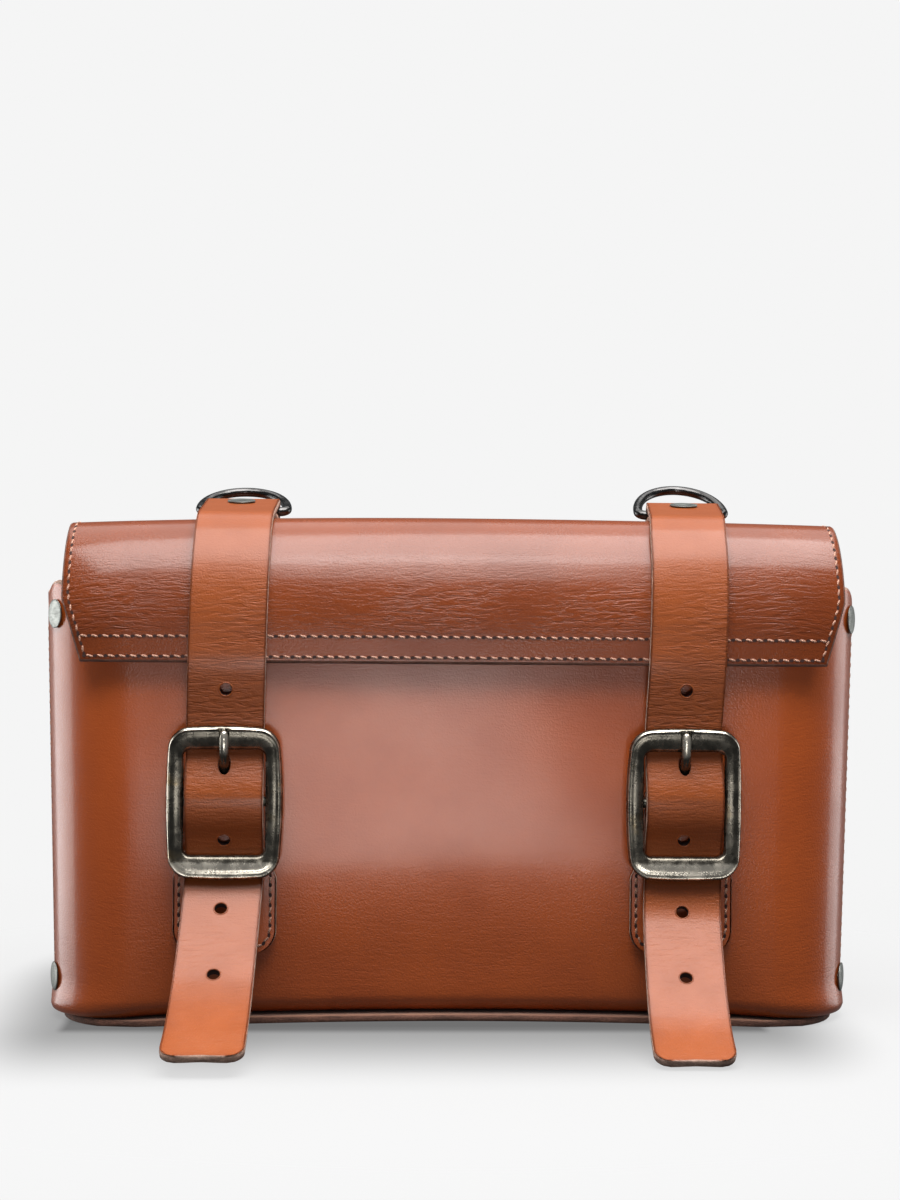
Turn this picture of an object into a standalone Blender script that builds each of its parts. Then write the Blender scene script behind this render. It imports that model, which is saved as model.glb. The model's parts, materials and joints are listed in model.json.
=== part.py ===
"""A leather saddle bag: sewn and riveted panels, a hinged flap, two buckled straps and two D-rings.

Metres, +Z up. The front faces -Y, and the origin is the middle of the base's underside.
"""
import math

import bmesh
import bpy
from mathutils import Matrix, Vector

# Driving sizes
STRAP_WIDTH = 0.025  # standard 25 mm strap, buckle and D-ring hardware
HALF_WIDTH = 0.1357  # body, at its widest
FRONT_Y = -0.040
BACK_Y = 0.040
BODY_TOP = 0.142
LEATHER = 0.0025
GAP = 0.0003  # kept between pieces that touch

# Body
BASE = 0.002  # thickness of the base sheet
CORNER = 0.030  # front corner radius, seen from above
ROLL = 0.0065  # radius of the rolled bottom edge
LIP = 0.010  # what is turned under past the roll
TAPER = 0.025  # how much narrower the body is at the bottom
WING_END = 14.0  # degrees round the corner arc, 0 is square to the side
EAR_RADIUS = 0.007
BASE_SIDE_INSET = 0.004  # from the body's bottom outline to the base's edge
BASE_FRONT_INSET = 0.002
BASE_REAR_CORNER = 0.004
ARC_X = HALF_WIDTH - CORNER
ARC_Y = FRONT_Y + CORNER
ROLL_Z = BASE + GAP
NEST = LEATHER + GAP  # from one layer's outer face to the next one's

# Flap
FLAP_HALF_WIDTH = 0.1267
FLAP_EDGE_Z = 0.118
FLAP_SLANT_Z = 0.139
FLAP_SLANT = 0.0065
FLAP_LEATHER = 0.002
BAND = 0.0015
BAND_HEIGHT = 0.0115
LINING = 0.0008
FLAP_STANDOFF = 0.0017  # from the front panel to the flap's band
FLAP_FRONT_Y = FRONT_Y - FLAP_STANDOFF - BAND - GAP - FLAP_LEATHER
FLAP_REACH = 0.025  # of the front curve, front to back
FLAP_RISE = 0.038  # of the front curve
FLAP_ARC_Y = FLAP_FRONT_Y + FLAP_REACH
FLAP_ARC_Z = 0.127
FLAP_TOP_Z = FLAP_ARC_Z + FLAP_RISE
FLAP_BEND_X = ARC_X  # past this the flap curves back with the body
FLAP_BEND_RADIUS = 0.080
FLAP_BEND_Y = -0.030  # the full bend is in front of this, and fades out towards the middle of the top
HINGE_Z = 0.1525
REAR_RADIUS = 0.006
REAR_ARC_Y = BACK_Y - REAR_RADIUS
REAR_ARC_Z = HINGE_Z + 0.0005
FLAP_FALL = FLAP_TOP_Z - REAR_ARC_Z - REAR_RADIUS  # of the top, from the front curve to the rear one

# Straps
STRAP_X = {-1: -0.0735, 1: 0.0735}
STRAP_LEAN = {-1: 0.022, 1: 0.037}  # how much each runs sideways as it rises above its buckle
TAIL_LEAN = {-1: 0.026, 1: 0.066}  # and below it
STRAP = 0.0024
STRAP_HINGE = 45.0  # degrees round the flap's front curve from its foot
HOLE_RADIUS = 0.002
HOLE_PITCH = 0.0248
HOLES_BELOW = 3
STRAP_END_RADIUS = 0.005
LOOP_ANGLE = 84.0  # where the folded end leaves the front curve
STRAP_TAIL = {  # (y, z) below the buckle; each curves forward as its leather has set
    -1: ((-0.0462, 0.0480), (-0.0520, 0.0397), (-0.0700, 0.0218), (-0.0870, 0.0117), (-0.1060, 0.0058)),
    1: ((-0.0450, 0.0480), (-0.0505, 0.0359), (-0.0680, 0.0185), (-0.0815, 0.0085), (-0.0960, 0.0020)),
}

# D-rings
RING_WIRE = 0.0016
RING_BAR_Y = 0.006
RING_HALF_WIDTH = STRAP_WIDTH / 2 + 0.0024
RING_BEND = 0.0026
RING_HEIGHT = 0.022
RING_LEAN = {-1: 20.0, 1: 26.0}  # degrees above level, leaning back
LOOP_RADIUS = RING_WIRE + GAP + STRAP / 2

# Buckles
BUCKLE_Z = 0.0738
BAR_Y = -0.0445
BAR_RADIUS = 0.0016
BUCKLE_HALF_WIDTH = 0.0172
BUCKLE_HALF_HEIGHT = 0.0244
BUCKLE_SIDE = 0.0042
BUCKLE_END = 0.0076
BUCKLE_BULGE = 0.0009  # of the sides
BUCKLE_ARCH = 0.0010  # of the ends
BUCKLE_CORNER = 0.0045
WINDOW_CORNER = 0.0025
BUCKLE_THICK = 0.004
BUCKLE_Y = -0.0490
BUCKLE_BOW = 0.0032  # how far the middle of the frame is set back
PRONG_WIRE = 0.0015
EYE_WIRE = 0.001
EYE_RADIUS = BAR_RADIUS + 0.00025 + EYE_WIRE
PRONG_HOLE_Z = BUCKLE_Z + 0.0123
CHAPE = 0.0018
CHAPE_HALF_WIDTH = 0.0166
CHAPE_NECK = 0.0122
CHAPE_BOTTOM = 0.0245
CHAPE_CORNER = 0.008
NECK_LOW_Z = BUCKLE_Z - 0.0245  # the tab narrows from here
NECK_Z = BUCKLE_Z - 0.0145  # to here
CHAPE_LOOP = BAR_RADIUS + GAP + CHAPE / 2

# Rivets
RIVET_RADIUS = 0.0047
RIVET_SPARE = 0.0007  # between the leather and the post's head
LOOP_RIVET_SPARE = 0.0036
LOOP_RIVET_RUN = 0.0085  # from the fold round the D-ring forward to the rivet
UPPER_RIVET_Z = 0.133
LOWER_RIVET_Z = 0.0135
RIVET_DOME = 0.0012
POST_RADIUS = 0.0015
HEAD_RADIUS = 0.0038
HEAD = 0.0008

SIDES = (("left", -1), ("right", 1))


def make_collection(name):
    collection = bpy.data.collections.new(name)
    bpy.context.scene.collection.children.link(collection)
    return collection


def make_material(name, colour, roughness, metallic=0.0):
    material = bpy.data.materials.new(name)
    material.use_nodes = True
    shader = material.node_tree.nodes["Principled BSDF"]
    shader.inputs["Base Color"].default_value = (*colour, 1.0)
    shader.inputs["Roughness"].default_value = roughness
    shader.inputs["Metallic"].default_value = metallic
    return material


def add_mesh(name, bm, collection, material=None):
    """A new object that holds bm's mesh, shaded smooth with its sharp edges kept."""
    mesh = bpy.data.meshes.new(name)
    bm.to_mesh(mesh)
    bm.free()
    mesh.shade_smooth()
    mesh.set_sharp_from_angle(angle=math.radians(35))
    made = bpy.data.objects.new(name, mesh)
    collection.objects.link(made)
    if material:
        mesh.materials.append(material)
    return made


def add_sheet(name, columns, rows, place, thickness, material, side=-1.0):
    """A sheet of leather: a grid whose corners lie where place(column, row) says, thickened by Solidify.

    With side -1 the grid is the outer face, with 0 it is the middle of the thickness.
    """
    bm = bmesh.new()
    bmesh.ops.create_grid(bm, x_segments=columns, y_segments=rows, size=0.5)
    for vertex in bm.verts:
        column = round((vertex.co.x + 0.5) * columns)
        row = round((vertex.co.y + 0.5) * rows)
        vertex.co = place(column, row)
    made = add_mesh(name, bm, parts, material)
    solidify = made.modifiers.new("thickness", "SOLIDIFY")
    solidify.thickness = thickness
    solidify.offset = side
    solidify.use_even_offset = True
    return made


def add_turned(name, profile, collection, material=None, steps=16):
    """A solid turned about Z from (radius, height) points that run from the top to the bottom."""
    bm = bmesh.new()
    points = [bm.verts.new((radius, 0.0, height)) for radius, height in profile]
    for upper, lower in zip(points, points[1:]):
        bm.edges.new((upper, lower))
    made = add_mesh(name, bm, collection, material)
    screw = made.modifiers.new("turn", "SCREW")
    screw.steps = screw.render_steps = steps
    screw.use_merge_vertices = True
    screw.merge_threshold = 0.00001
    return made


def add_cutter(name, radius, depth):
    """A round bar along Z that cuts a hole."""
    bm = bmesh.new()
    bmesh.ops.create_cone(bm, cap_ends=True, segments=16, radius1=radius, radius2=radius, depth=depth)
    return hide_cutter(add_mesh(name, bm, cutters))


def add_box_cutter(name, low, high):
    bm = bmesh.new()
    bmesh.ops.create_cube(bm, size=1.0)
    low, high = Vector(low), Vector(high)
    for vertex in bm.verts:
        vertex.co = (low + high) / 2 + Vector(a * b for a, b in zip(vertex.co, high - low))
    return hide_cutter(add_mesh(name, bm, cutters))


def hide_cutter(cutter):
    cutter.hide_render = True
    cutter.display_type = "WIRE"
    return cutter


def cut(target, cutter, operation="DIFFERENCE"):
    modifier = target.modifiers.new(cutter.name, "BOOLEAN")
    modifier.operation = operation
    modifier.object = cutter


def point_along(thing, place, direction, stretch=1.0):
    """Move thing to place with its +Z along direction, and make it longer across the strap's run."""
    turn = Vector(direction).to_track_quat("Z", "Y").to_matrix().to_4x4()
    thing.matrix_world = Matrix.Translation(place) @ turn @ Matrix.Diagonal((1.0, stretch, 1.0, 1.0))


def add_pivot(name, place, pieces, parent=None):
    """An empty on a joint's axis that carries the pieces of one body."""
    empty = bpy.data.objects.new(name, None)
    empty.empty_display_size = 0.01
    parts.objects.link(empty)
    empty.location = place
    if parent:
        empty.parent = parent
        empty.matrix_parent_inverse = Matrix.Translation(-parent.matrix_world.translation)
    empty.matrix_world = Matrix.Translation(place)
    for piece in pieces:
        piece.parent = empty
        piece.matrix_parent_inverse = Matrix.Translation(-Vector(place))
    return empty


def smooth_path(controls, steps=4):
    """Points on a Catmull-Rom curve through (y, z) controls."""
    ends = [2 * controls[0] - controls[1], *controls, 2 * controls[-1] - controls[-2]]
    path = []
    for a, b, c, d in zip(ends, ends[1:], ends[2:], ends[3:]):
        for i in range(steps):
            t = i / steps
            path.append(
                0.5 * (2 * b + (c - a) * t + (2 * a - 5 * b + 4 * c - d) * t**2)
                + 0.5 * (3 * b - a - 3 * c + d) * t**3
            )
    return [*path, controls[-1]]


def lengths_along(path):
    lengths = [0.0]
    for a, b in zip(path, path[1:]):
        lengths.append(lengths[-1] + (b - a).length)
    return lengths


def at_length(path, distance):
    """The point at a distance along the path, and the direction there."""
    lengths = lengths_along(path)
    for a, b, start, end in zip(path, path[1:], lengths, lengths[1:]):
        if distance <= end:
            return a.lerp(b, (distance - start) / (end - start)), (b - a).normalized()
    return path[-1], (path[-1] - path[-2]).normalized()


def rounded_end(distance, radius):
    """How much narrower a strip is at a distance from its round-cornered end."""
    inside = min(max(radius - distance, 0.0), radius)
    return radius - math.sqrt(radius**2 - inside**2)


# Body shell. A station is a place on the plan outline: its arc centre and the way out from there.


def corner_stations(first, last, steps):
    """Stations on the right-hand front corner, from one angle to the other."""
    angles = [math.radians(first + (last - first) * i / steps) for i in range(steps + 1)]
    return [(ARC_X, ARC_Y, math.cos(angle), -math.sin(angle)) for angle in angles]


def mirrored(stations):
    return [(-x, y, -out_x, out_y) for x, y, out_x, out_y in reversed(stations)]


def shell_point(station, inset, z):
    """The shell's place at a station and height, inset from the outline."""
    x, y, out_x, out_y = station
    narrowing = 1.0 - TAPER * (1.0 - z / BODY_TOP)
    reach = CORNER - inset
    return Vector(((x + reach * out_x) * narrowing, y + reach * out_y, z))


def wall_profile(depth, roll_steps=5):
    """(inset, z) from the turned-under lip to the start of the wall, at a depth inside the outline."""
    radius = ROLL - depth
    profile = [(ROLL + LIP, ROLL_Z + depth)]
    for i in range(roll_steps + 1):
        angle = math.radians(90.0 * (1 - i / roll_steps))
        profile.append((ROLL - radius * math.cos(angle), ROLL_Z + ROLL - radius * math.sin(angle)))
    return profile


def make_front_panel(leather):
    corner = corner_stations(90.0, WING_END, 9)
    half = [(ARC_X * part, ARC_Y, 0.0, -1.0) for part in (0.0, 0.5)] + corner
    stations = mirrored(half)[:-1] + half
    profile = wall_profile(0.0)
    walls = (0.35, 0.7, 0.93, 1.0)
    last = len(stations) - 1

    def place(column, row):
        station = stations[column]
        if row < len(profile):
            return shell_point(station, *profile[row])
        inset, start = profile[-1]
        from_end = min(column, last - column) * CORNER * math.radians((90.0 - WING_END) / 9)
        top = BODY_TOP - rounded_end(from_end, EAR_RADIUS)
        return shell_point(station, inset, start + (top - start) * walls[row - len(profile)])

    return add_sheet("front_panel", last, len(profile) + len(walls) - 1, place, LEATHER, leather)


def make_gusset(name, side, leather):
    stations = corner_stations(50.0, 0.0, 6)
    stations += [(ARC_X, y, 1.0, 0.0) for y in (0.014, BACK_Y - LEATHER - GAP)]
    if side < 0:
        stations = mirrored(stations)
    profile = wall_profile(NEST)
    profile += [(NEST, BODY_TOP * part) for part in (0.5, 0.993)]

    def place(column, row):
        return shell_point(stations[column], *profile[row])

    return add_sheet(name, len(stations) - 1, len(profile) - 1, place, LEATHER, leather)


def make_back_panel(leather):
    heights = [ROLL_Z + ROLL * part for part in (0.0, 0.1, 0.3, 0.6, 1.0)]
    heights += [BODY_TOP * 0.5, BODY_TOP - 2 * EAR_RADIUS, BODY_TOP - EAR_RADIUS, BODY_TOP, HINGE_Z - GAP]

    def place(column, row):
        z = heights[row]
        narrowing = 1.0 - TAPER * (1.0 - z / BODY_TOP)
        half = HALF_WIDTH * narrowing - rounded_end(z - ROLL_Z, ROLL)
        shoulder = min(max((z - heights[-4]) / (heights[-1] - heights[-4]), 0.0), 1.0)
        half += (FLAP_HALF_WIDTH - half) * shoulder**2
        return Vector((half * (1 - column), BACK_Y, z))

    return add_sheet("back_panel", 2, len(heights) - 1, place, LEATHER, leather)


def make_bottom_panel(leather):
    half_width = HALF_WIDTH * (1 - TAPER) - BASE_SIDE_INSET
    front, back = FRONT_Y + BASE_FRONT_INSET, BACK_Y
    front_corner = CORNER - BASE_SIDE_INSET
    corners = (
        (1, front + front_corner, front_corner, -90),
        (1, back - BASE_REAR_CORNER, BASE_REAR_CORNER, 0),
        (-1, back - BASE_REAR_CORNER, BASE_REAR_CORNER, 90),
        (-1, front + front_corner, front_corner, 180),
    )
    outline = []
    for side, centre_y, radius, start in corners:
        centre_x = side * (half_width - radius)
        for i in range(7):
            angle = math.radians(start + 15 * i)
            outline.append((centre_x + radius * math.cos(angle), centre_y + radius * math.sin(angle)))
    bm = bmesh.new()
    face = bm.faces.new([bm.verts.new((x, y, 0.0)) for x, y in outline])
    extruded = bmesh.ops.extrude_face_region(bm, geom=[face])["geom"]
    top = [item for item in extruded if isinstance(item, bmesh.types.BMVert)]
    bmesh.ops.translate(bm, verts=top, vec=(0.0, 0.0, BASE))
    bmesh.ops.recalc_face_normals(bm, faces=bm.faces)
    return add_mesh("bottom_panel", bm, parts, leather)


# Flap


def flap_top(y):
    """The height of the flap's outer face behind its front curve: a shallow fall towards the rear."""
    part = (y - FLAP_ARC_Y) / (REAR_ARC_Y - FLAP_ARC_Y)
    return FLAP_TOP_Z - FLAP_FALL * part**2


def front_curve(angle, depth):
    """(y, z) on the flap's front curve, degrees round from its foot, at a depth inside the face."""
    turn = math.radians(angle)
    y = FLAP_ARC_Y - (FLAP_REACH - depth) * math.cos(turn)
    return Vector((y, FLAP_ARC_Z + (FLAP_RISE - depth) * math.sin(turn)))


def front_angle(z):
    """How far round the front curve a height is, in degrees."""
    return math.degrees(math.asin((z - FLAP_ARC_Z) / FLAP_RISE))


def flap_profile(depth):
    """(y, z) along the flap at a depth inside its face, from the front edge to the hinge."""
    rear_radius = REAR_RADIUS - depth
    slant = front_angle(FLAP_SLANT_Z)
    points = [Vector((FLAP_FRONT_Y + depth, FLAP_EDGE_Z))]
    points += [front_curve(slant * i / 2, depth) for i in range(2)]
    points += [front_curve(slant + (90.0 - slant) * i / 7, depth) for i in range(8)]
    for part in (0.33, 0.66):
        y = FLAP_ARC_Y + (REAR_ARC_Y - FLAP_ARC_Y) * part
        points.append(Vector((y, flap_top(y) - depth)))
    for i in range(5):
        angle = math.radians(90.0 * (1 - i / 4))
        y = REAR_ARC_Y + rear_radius * math.cos(angle)
        points.append(Vector((y, REAR_ARC_Z + rear_radius * math.sin(angle))))
    return points


def flap_point(across, y, z):
    """A flap corner: across runs from -1 to 1, and the ends curve back with the body's corners."""
    half = FLAP_HALF_WIDTH - max(FLAP_SLANT_Z - z, 0.0) * FLAP_SLANT / (FLAP_SLANT_Z - FLAP_EDGE_Z)
    x = half * across
    past = max(abs(x) - FLAP_BEND_X, 0.0)
    set_back = past**2 / (2 * FLAP_BEND_RADIUS) * max(min(y / FLAP_BEND_Y, 1.0), 0.0)
    return Vector((x, y + set_back, z))


FLAP_ACROSS = (-1.0, -0.93, -0.86, -0.79, -0.4, 0.0, 0.4, 0.79, 0.86, 0.93, 1.0)


def make_flap_layer(name, points, thickness, leather):
    def place(column, row):
        return flap_point(FLAP_ACROSS[column], *points[row])

    return add_sheet(name, len(FLAP_ACROSS) - 1, len(points) - 1, place, thickness, leather)


def make_flap(leather, lining):
    outer = make_flap_layer("flap_outer", flap_profile(0.0), FLAP_LEATHER, leather)
    depth = FLAP_LEATHER + GAP
    front_y = FLAP_FRONT_Y + depth
    band_top = FLAP_EDGE_Z + BAND_HEIGHT
    band_points = [Vector((front_y, FLAP_EDGE_Z + GAP)), Vector((front_y, FLAP_ARC_Z))]
    band_points.append(front_curve(front_angle(band_top), depth))
    band = make_flap_layer("flap_band", band_points, BAND, leather)
    lining_low = front_curve(front_angle(band_top + 2 * GAP), depth)
    above = [point for point in flap_profile(depth) if point.x > lining_low.x]
    lined = make_flap_layer("flap_lining", [lining_low, *above], LINING, lining)
    return [outer, band, lined]


# Straps


def strap_arc(angle):
    """A place on the strap's middle line where it bends over the flap's front curve."""
    return front_curve(angle, -GAP - STRAP / 2)


def strap_x(side, z):
    """The middle of a strap at a height: straight through its buckle, leaning sideways above and below."""
    above = max(z - BUCKLE_Z - BUCKLE_HALF_HEIGHT, 0.0)
    below = max(BUCKLE_Z - BUCKLE_HALF_HEIGHT - z, 0.0)
    return STRAP_X[side] + STRAP_LEAN[side] * above - TAIL_LEAN[side] * below


def on_flap(y):
    """A place on the middle line of strap leather that lies on the flap's top."""
    return Vector((y, flap_top(y) + GAP + STRAP / 2))


def ring_bar():
    """The (y, z) of a D-ring's bar, in the fold of the strap."""
    return on_flap(RING_BAR_Y) + Vector((0.0, LOOP_RADIUS))


def loop_path():
    """From the end under the D-ring's bar, round the bar and forward to the strap's bend."""
    path = [on_flap(RING_BAR_Y - 0.0145), on_flap(RING_BAR_Y - 0.0050)]
    for i in range(11):
        angle = math.radians(-90.0 + 19.0 * i)
        path.append(ring_bar() + LOOP_RADIUS * Vector((math.cos(angle), math.sin(angle))))
    path.append(path[-1].lerp(strap_arc(LOOP_ANGLE), 0.5))
    path += [strap_arc(LOOP_ANGLE - 9.0 * i) for i in range(4)]
    return [*path, strap_arc(STRAP_HINGE + 0.5)]


def strap_path(side):
    """Down the flap's front, through the buckle, and out to a tail that curves forward."""
    flap_y = strap_arc(0.0).x
    under_bar = FRONT_Y - GAP - CHAPE - 2 * GAP - STRAP / 2
    over_bar = BAR_Y - CHAPE_LOOP - CHAPE / 2 - GAP - STRAP / 2
    lower_end = -BUCKLE_HALF_HEIGHT + BUCKLE_END / 2
    path = [strap_arc(STRAP_HINGE * (1 - i / 5)) for i in range(6)]
    path.append(Vector((flap_y, FLAP_EDGE_Z - 0.001)))
    through_buckle = (
        (under_bar - 0.0002, 0.0265),
        (under_bar, 0.0200),
        (over_bar + 0.0038, 0.0125),
        (over_bar + 0.0005, 0.0045),
        (over_bar, 0.0),
        (over_bar + 0.0008, -0.0055),
        (under_bar - 0.0020, -0.0120),
        (under_bar + 0.0002, lower_end),
    )
    path += [Vector((y, BUCKLE_Z + above)) for y, above in through_buckle]
    return smooth_path([*path, *(Vector(point) for point in STRAP_TAIL[side])], steps=2)


def strap_stations(path):
    """The path with extra points near its free end, where the corners are rounded."""
    total = lengths_along(path)[-1]
    near_end = [total - STRAP_END_RADIUS * part for part in (1.0, 0.6, 0.3, 0.1, 0.0)]
    kept = [point for point, length in zip(path, lengths_along(path)) if length < near_end[0] - 0.001]
    return kept + [at_length(path, length)[0] for length in near_end]


def make_strip(name, middle, path, thickness, material, half_width):
    """A strip along a (y, z) path; middle(z) and half_width(row) give where and how wide each row is."""
    columns = 2

    def place(column, row):
        across = 2.0 * column / columns - 1.0
        return Vector((middle(path[row].y) + across * half_width(row), *path[row]))

    return add_sheet(name, columns, len(path) - 1, place, thickness, material, side=0.0)


def make_strap(name, side, leather):
    path = strap_stations(strap_path(side))
    lengths = lengths_along(path)

    def half_width(row):
        return STRAP_WIDTH / 2 - rounded_end(lengths[-1] - lengths[row], STRAP_END_RADIUS)

    strap = make_strip(name, lambda z: strap_x(side, z), path, STRAP, leather, half_width)
    above = next(i for i, point in enumerate(path) if point.y < PRONG_HOLE_Z) - 1
    part = (path[above].y - PRONG_HOLE_Z) / (path[above].y - path[above + 1].y)
    prong_hole = lengths[above] + (lengths[above + 1] - lengths[above]) * part
    for number in range(-1, HOLES_BELOW + 1):
        (y, z), (run_y, run_z) = at_length(path, prong_hole + number * HOLE_PITCH)
        hole = add_cutter(f"{name}_hole_{number + 1}", HOLE_RADIUS, 0.008)
        # the hole that the prong fills is pulled long
        stretch = 2.3 if number == 0 else 1.0
        point_along(hole, (strap_x(side, z), y, z), (0.0, -run_z, run_y), stretch)
        cut(strap, hole)
    return strap


def make_strap_loop(name, side, leather):
    half_width = STRAP_WIDTH / 2
    return make_strip(name, lambda z: strap_x(side, z), loop_path(), STRAP, leather, lambda row: half_width)


# Metal


def make_tube(name, points, radius, material, cyclic=False, sides=2):
    """A bent wire along points, as a mesh."""
    curve = bpy.data.curves.new(name, "CURVE")
    curve.dimensions = "3D"
    curve.bevel_depth = radius
    curve.bevel_resolution = sides
    curve.use_fill_caps = not cyclic
    spline = curve.splines.new("POLY")
    spline.points.add(len(points) - 1)
    for target, point in zip(spline.points, points):
        target.co = (*point, 1.0)
    spline.use_cyclic_u = cyclic
    wire = bpy.data.objects.new(name, curve)
    parts.objects.link(wire)
    bpy.context.view_layer.update()
    mesh = bpy.data.meshes.new_from_object(wire.evaluated_get(bpy.context.evaluated_depsgraph_get()))
    parts.objects.unlink(wire)
    bpy.data.objects.remove(wire)
    bm = bmesh.new()
    bm.from_mesh(mesh)
    bmesh.ops.remove_doubles(bm, verts=bm.verts, dist=0.00001)
    bmesh.ops.recalc_face_normals(bm, faces=bm.faces)
    return add_mesh(name, bm, parts, material)


def ring_outline():
    """(across, along) points of a D: the straight bar on its axis, tight corners and a round bow."""
    points = []
    straight = RING_HALF_WIDTH - RING_BEND
    for i in range(5):
        angle = math.radians(-90.0 + 22.5 * i)
        points.append((straight + RING_BEND * math.cos(angle), RING_BEND + RING_BEND * math.sin(angle)))
    bow = RING_HEIGHT - RING_BEND
    for i in range(1, 10):
        angle = math.radians(18.0 * i)
        points.append((RING_HALF_WIDTH * math.cos(angle), RING_BEND + bow * math.sin(angle)))
    points += [(-across, along) for across, along in reversed(points[:5])]
    return points


def make_d_ring(name, side, metal):
    lean = math.radians(RING_LEAN[side])
    bar_y, bar_z = ring_bar()
    middle = strap_x(side, bar_z)
    points = [
        (middle + across, bar_y + along * math.cos(lean), bar_z + along * math.sin(lean))
        for across, along in ring_outline()
    ]
    return make_tube(name, points, RING_WIRE, metal, cyclic=True)


def frame_outline(half_width, half_height, corner, bulge, arch):
    """(x, z) points of a rectangle with round corners, whose long sides bulge and whose ends arch."""
    points = []
    for number, (side_x, side_z) in enumerate(((1, -1), (1, 1), (-1, 1), (-1, -1))):
        for i in range(5):
            angle = math.radians(-90.0 + 90.0 * number + 22.5 * i)
            x = side_x * (half_width - corner) + corner * math.cos(angle)
            z = side_z * (half_height - corner) + corner * math.sin(angle)
            points.append((x, z))
        if number % 2 == 0:
            straight = side_x * (half_height - corner)
            points += [(side_x * half_width, straight * part) for part in (-0.5, 0.0, 0.5)]
        else:
            points.append((0.0, side_z * half_height))
    bulged = []
    for x, z in points:
        wider = 1 + bulge / half_width * (1 - (z / half_height) ** 2)
        taller = 1 + arch / half_height * (1 - (x / half_width) ** 2)
        bulged.append((x * wider, z * taller))
    return bulged


def buckle_bow(z):
    """How far the frame is set back at a height above its middle."""
    return BUCKLE_BOW * (1 - (z / BUCKLE_HALF_HEIGHT) ** 2)


def make_buckle(name, side, metal):
    """A frame lofted between its outer and inner outlines, bowed back, with a bar across its middle."""
    half_width, half_height = BUCKLE_HALF_WIDTH, BUCKLE_HALF_HEIGHT - BUCKLE_ARCH
    outer = frame_outline(half_width, half_height, BUCKLE_CORNER, BUCKLE_BULGE, BUCKLE_ARCH)
    half_width, half_height = BUCKLE_HALF_WIDTH - BUCKLE_SIDE, BUCKLE_HALF_HEIGHT - BUCKLE_END
    inner = frame_outline(half_width, half_height, WINDOW_CORNER, 0.0, 0.0)
    middle = STRAP_X[side]
    around, across = len(outer), 8
    bm = bmesh.new()
    rings = []
    for (outer_x, outer_z), (inner_x, inner_z) in zip(outer, inner):
        ring = []
        for i in range(across):
            angle = 2 * math.pi * i / across
            part = 0.5 + 0.5 * math.cos(angle)
            x = inner_x + (outer_x - inner_x) * part
            z = inner_z + (outer_z - inner_z) * part
            y = BUCKLE_Y + buckle_bow(z) - BUCKLE_THICK / 2 * math.sin(angle)
            ring.append(bm.verts.new((middle + x, y, BUCKLE_Z + z)))
        rings.append(ring)
    for i in range(around):
        for j in range(across):
            here, after = rings[i], rings[(i + 1) % around]
            bm.faces.new((here[j], after[j], after[(j + 1) % across], here[(j + 1) % across]))
    bmesh.ops.recalc_face_normals(bm, faces=bm.faces)
    frame = add_mesh(name, bm, parts, metal)
    bar = add_cutter(f"{name}_bar", BAR_RADIUS, 2 * (BUCKLE_HALF_WIDTH - BUCKLE_SIDE / 2))
    point_along(bar, (middle, BAR_Y, BUCKLE_Z), (1.0, 0.0, 0.0))
    cut(frame, bar, "UNION")
    notch = add_cutter(f"{name}_notch", PRONG_WIRE + GAP, BUCKLE_END * 1.5)
    top_bar_z = BUCKLE_Z + BUCKLE_HALF_HEIGHT - BUCKLE_END / 2
    point_along(notch, (middle, prong_rest_y(), top_bar_z), (0.0, 0.0, 1.0))
    cut(frame, notch)
    return frame


def prong_rest_y():
    """Where the prong's middle line lies in the notch of the top bar."""
    return BUCKLE_Y + buckle_bow(BUCKLE_HALF_HEIGHT - BUCKLE_END / 2) - BUCKLE_THICK / 2 - 0.0006


def make_prong(name, side, metal):
    rest = prong_rest_y()
    controls = [
        (BAR_Y - 0.0002, EYE_RADIUS),
        (BAR_Y - 0.0001, 0.0070),
        (BAR_Y - 0.0012, 0.0099),
        (rest + 0.0016, 0.0133),
        (rest, 0.0170),
        (rest, BUCKLE_HALF_HEIGHT - 0.0015),
    ]
    middle = STRAP_X[side]
    path = smooth_path([Vector((y, BUCKLE_Z + above)) for y, above in controls], steps=3)
    points = [(middle, *point) for point in path]
    prong = make_tube(name, points, PRONG_WIRE, metal)
    bm = bmesh.new()
    for i in range(20):
        turn = Matrix.Rotation(2 * math.pi * i / 20, 4, "X")
        for j in range(8):
            angle = 2 * math.pi * j / 8
            out = EYE_RADIUS + EYE_WIRE * math.sin(angle)
            spot = turn @ Vector((PRONG_WIRE * math.cos(angle), 0.0, out))
            bm.verts.new(spot + Vector((middle, BAR_Y, BUCKLE_Z)))
    bm.verts.ensure_lookup_table()
    for i in range(20):
        for j in range(8):
            corners = ((i, j), (i + 1, j), (i + 1, j + 1), (i, j + 1))
            bm.faces.new([bm.verts[(a % 20) * 8 + b % 8] for a, b in corners])
    bmesh.ops.recalc_face_normals(bm, faces=bm.faces)
    eye = hide_cutter(add_mesh(f"{name}_eye", bm, cutters))
    cut(prong, eye, "UNION")
    return prong


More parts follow.
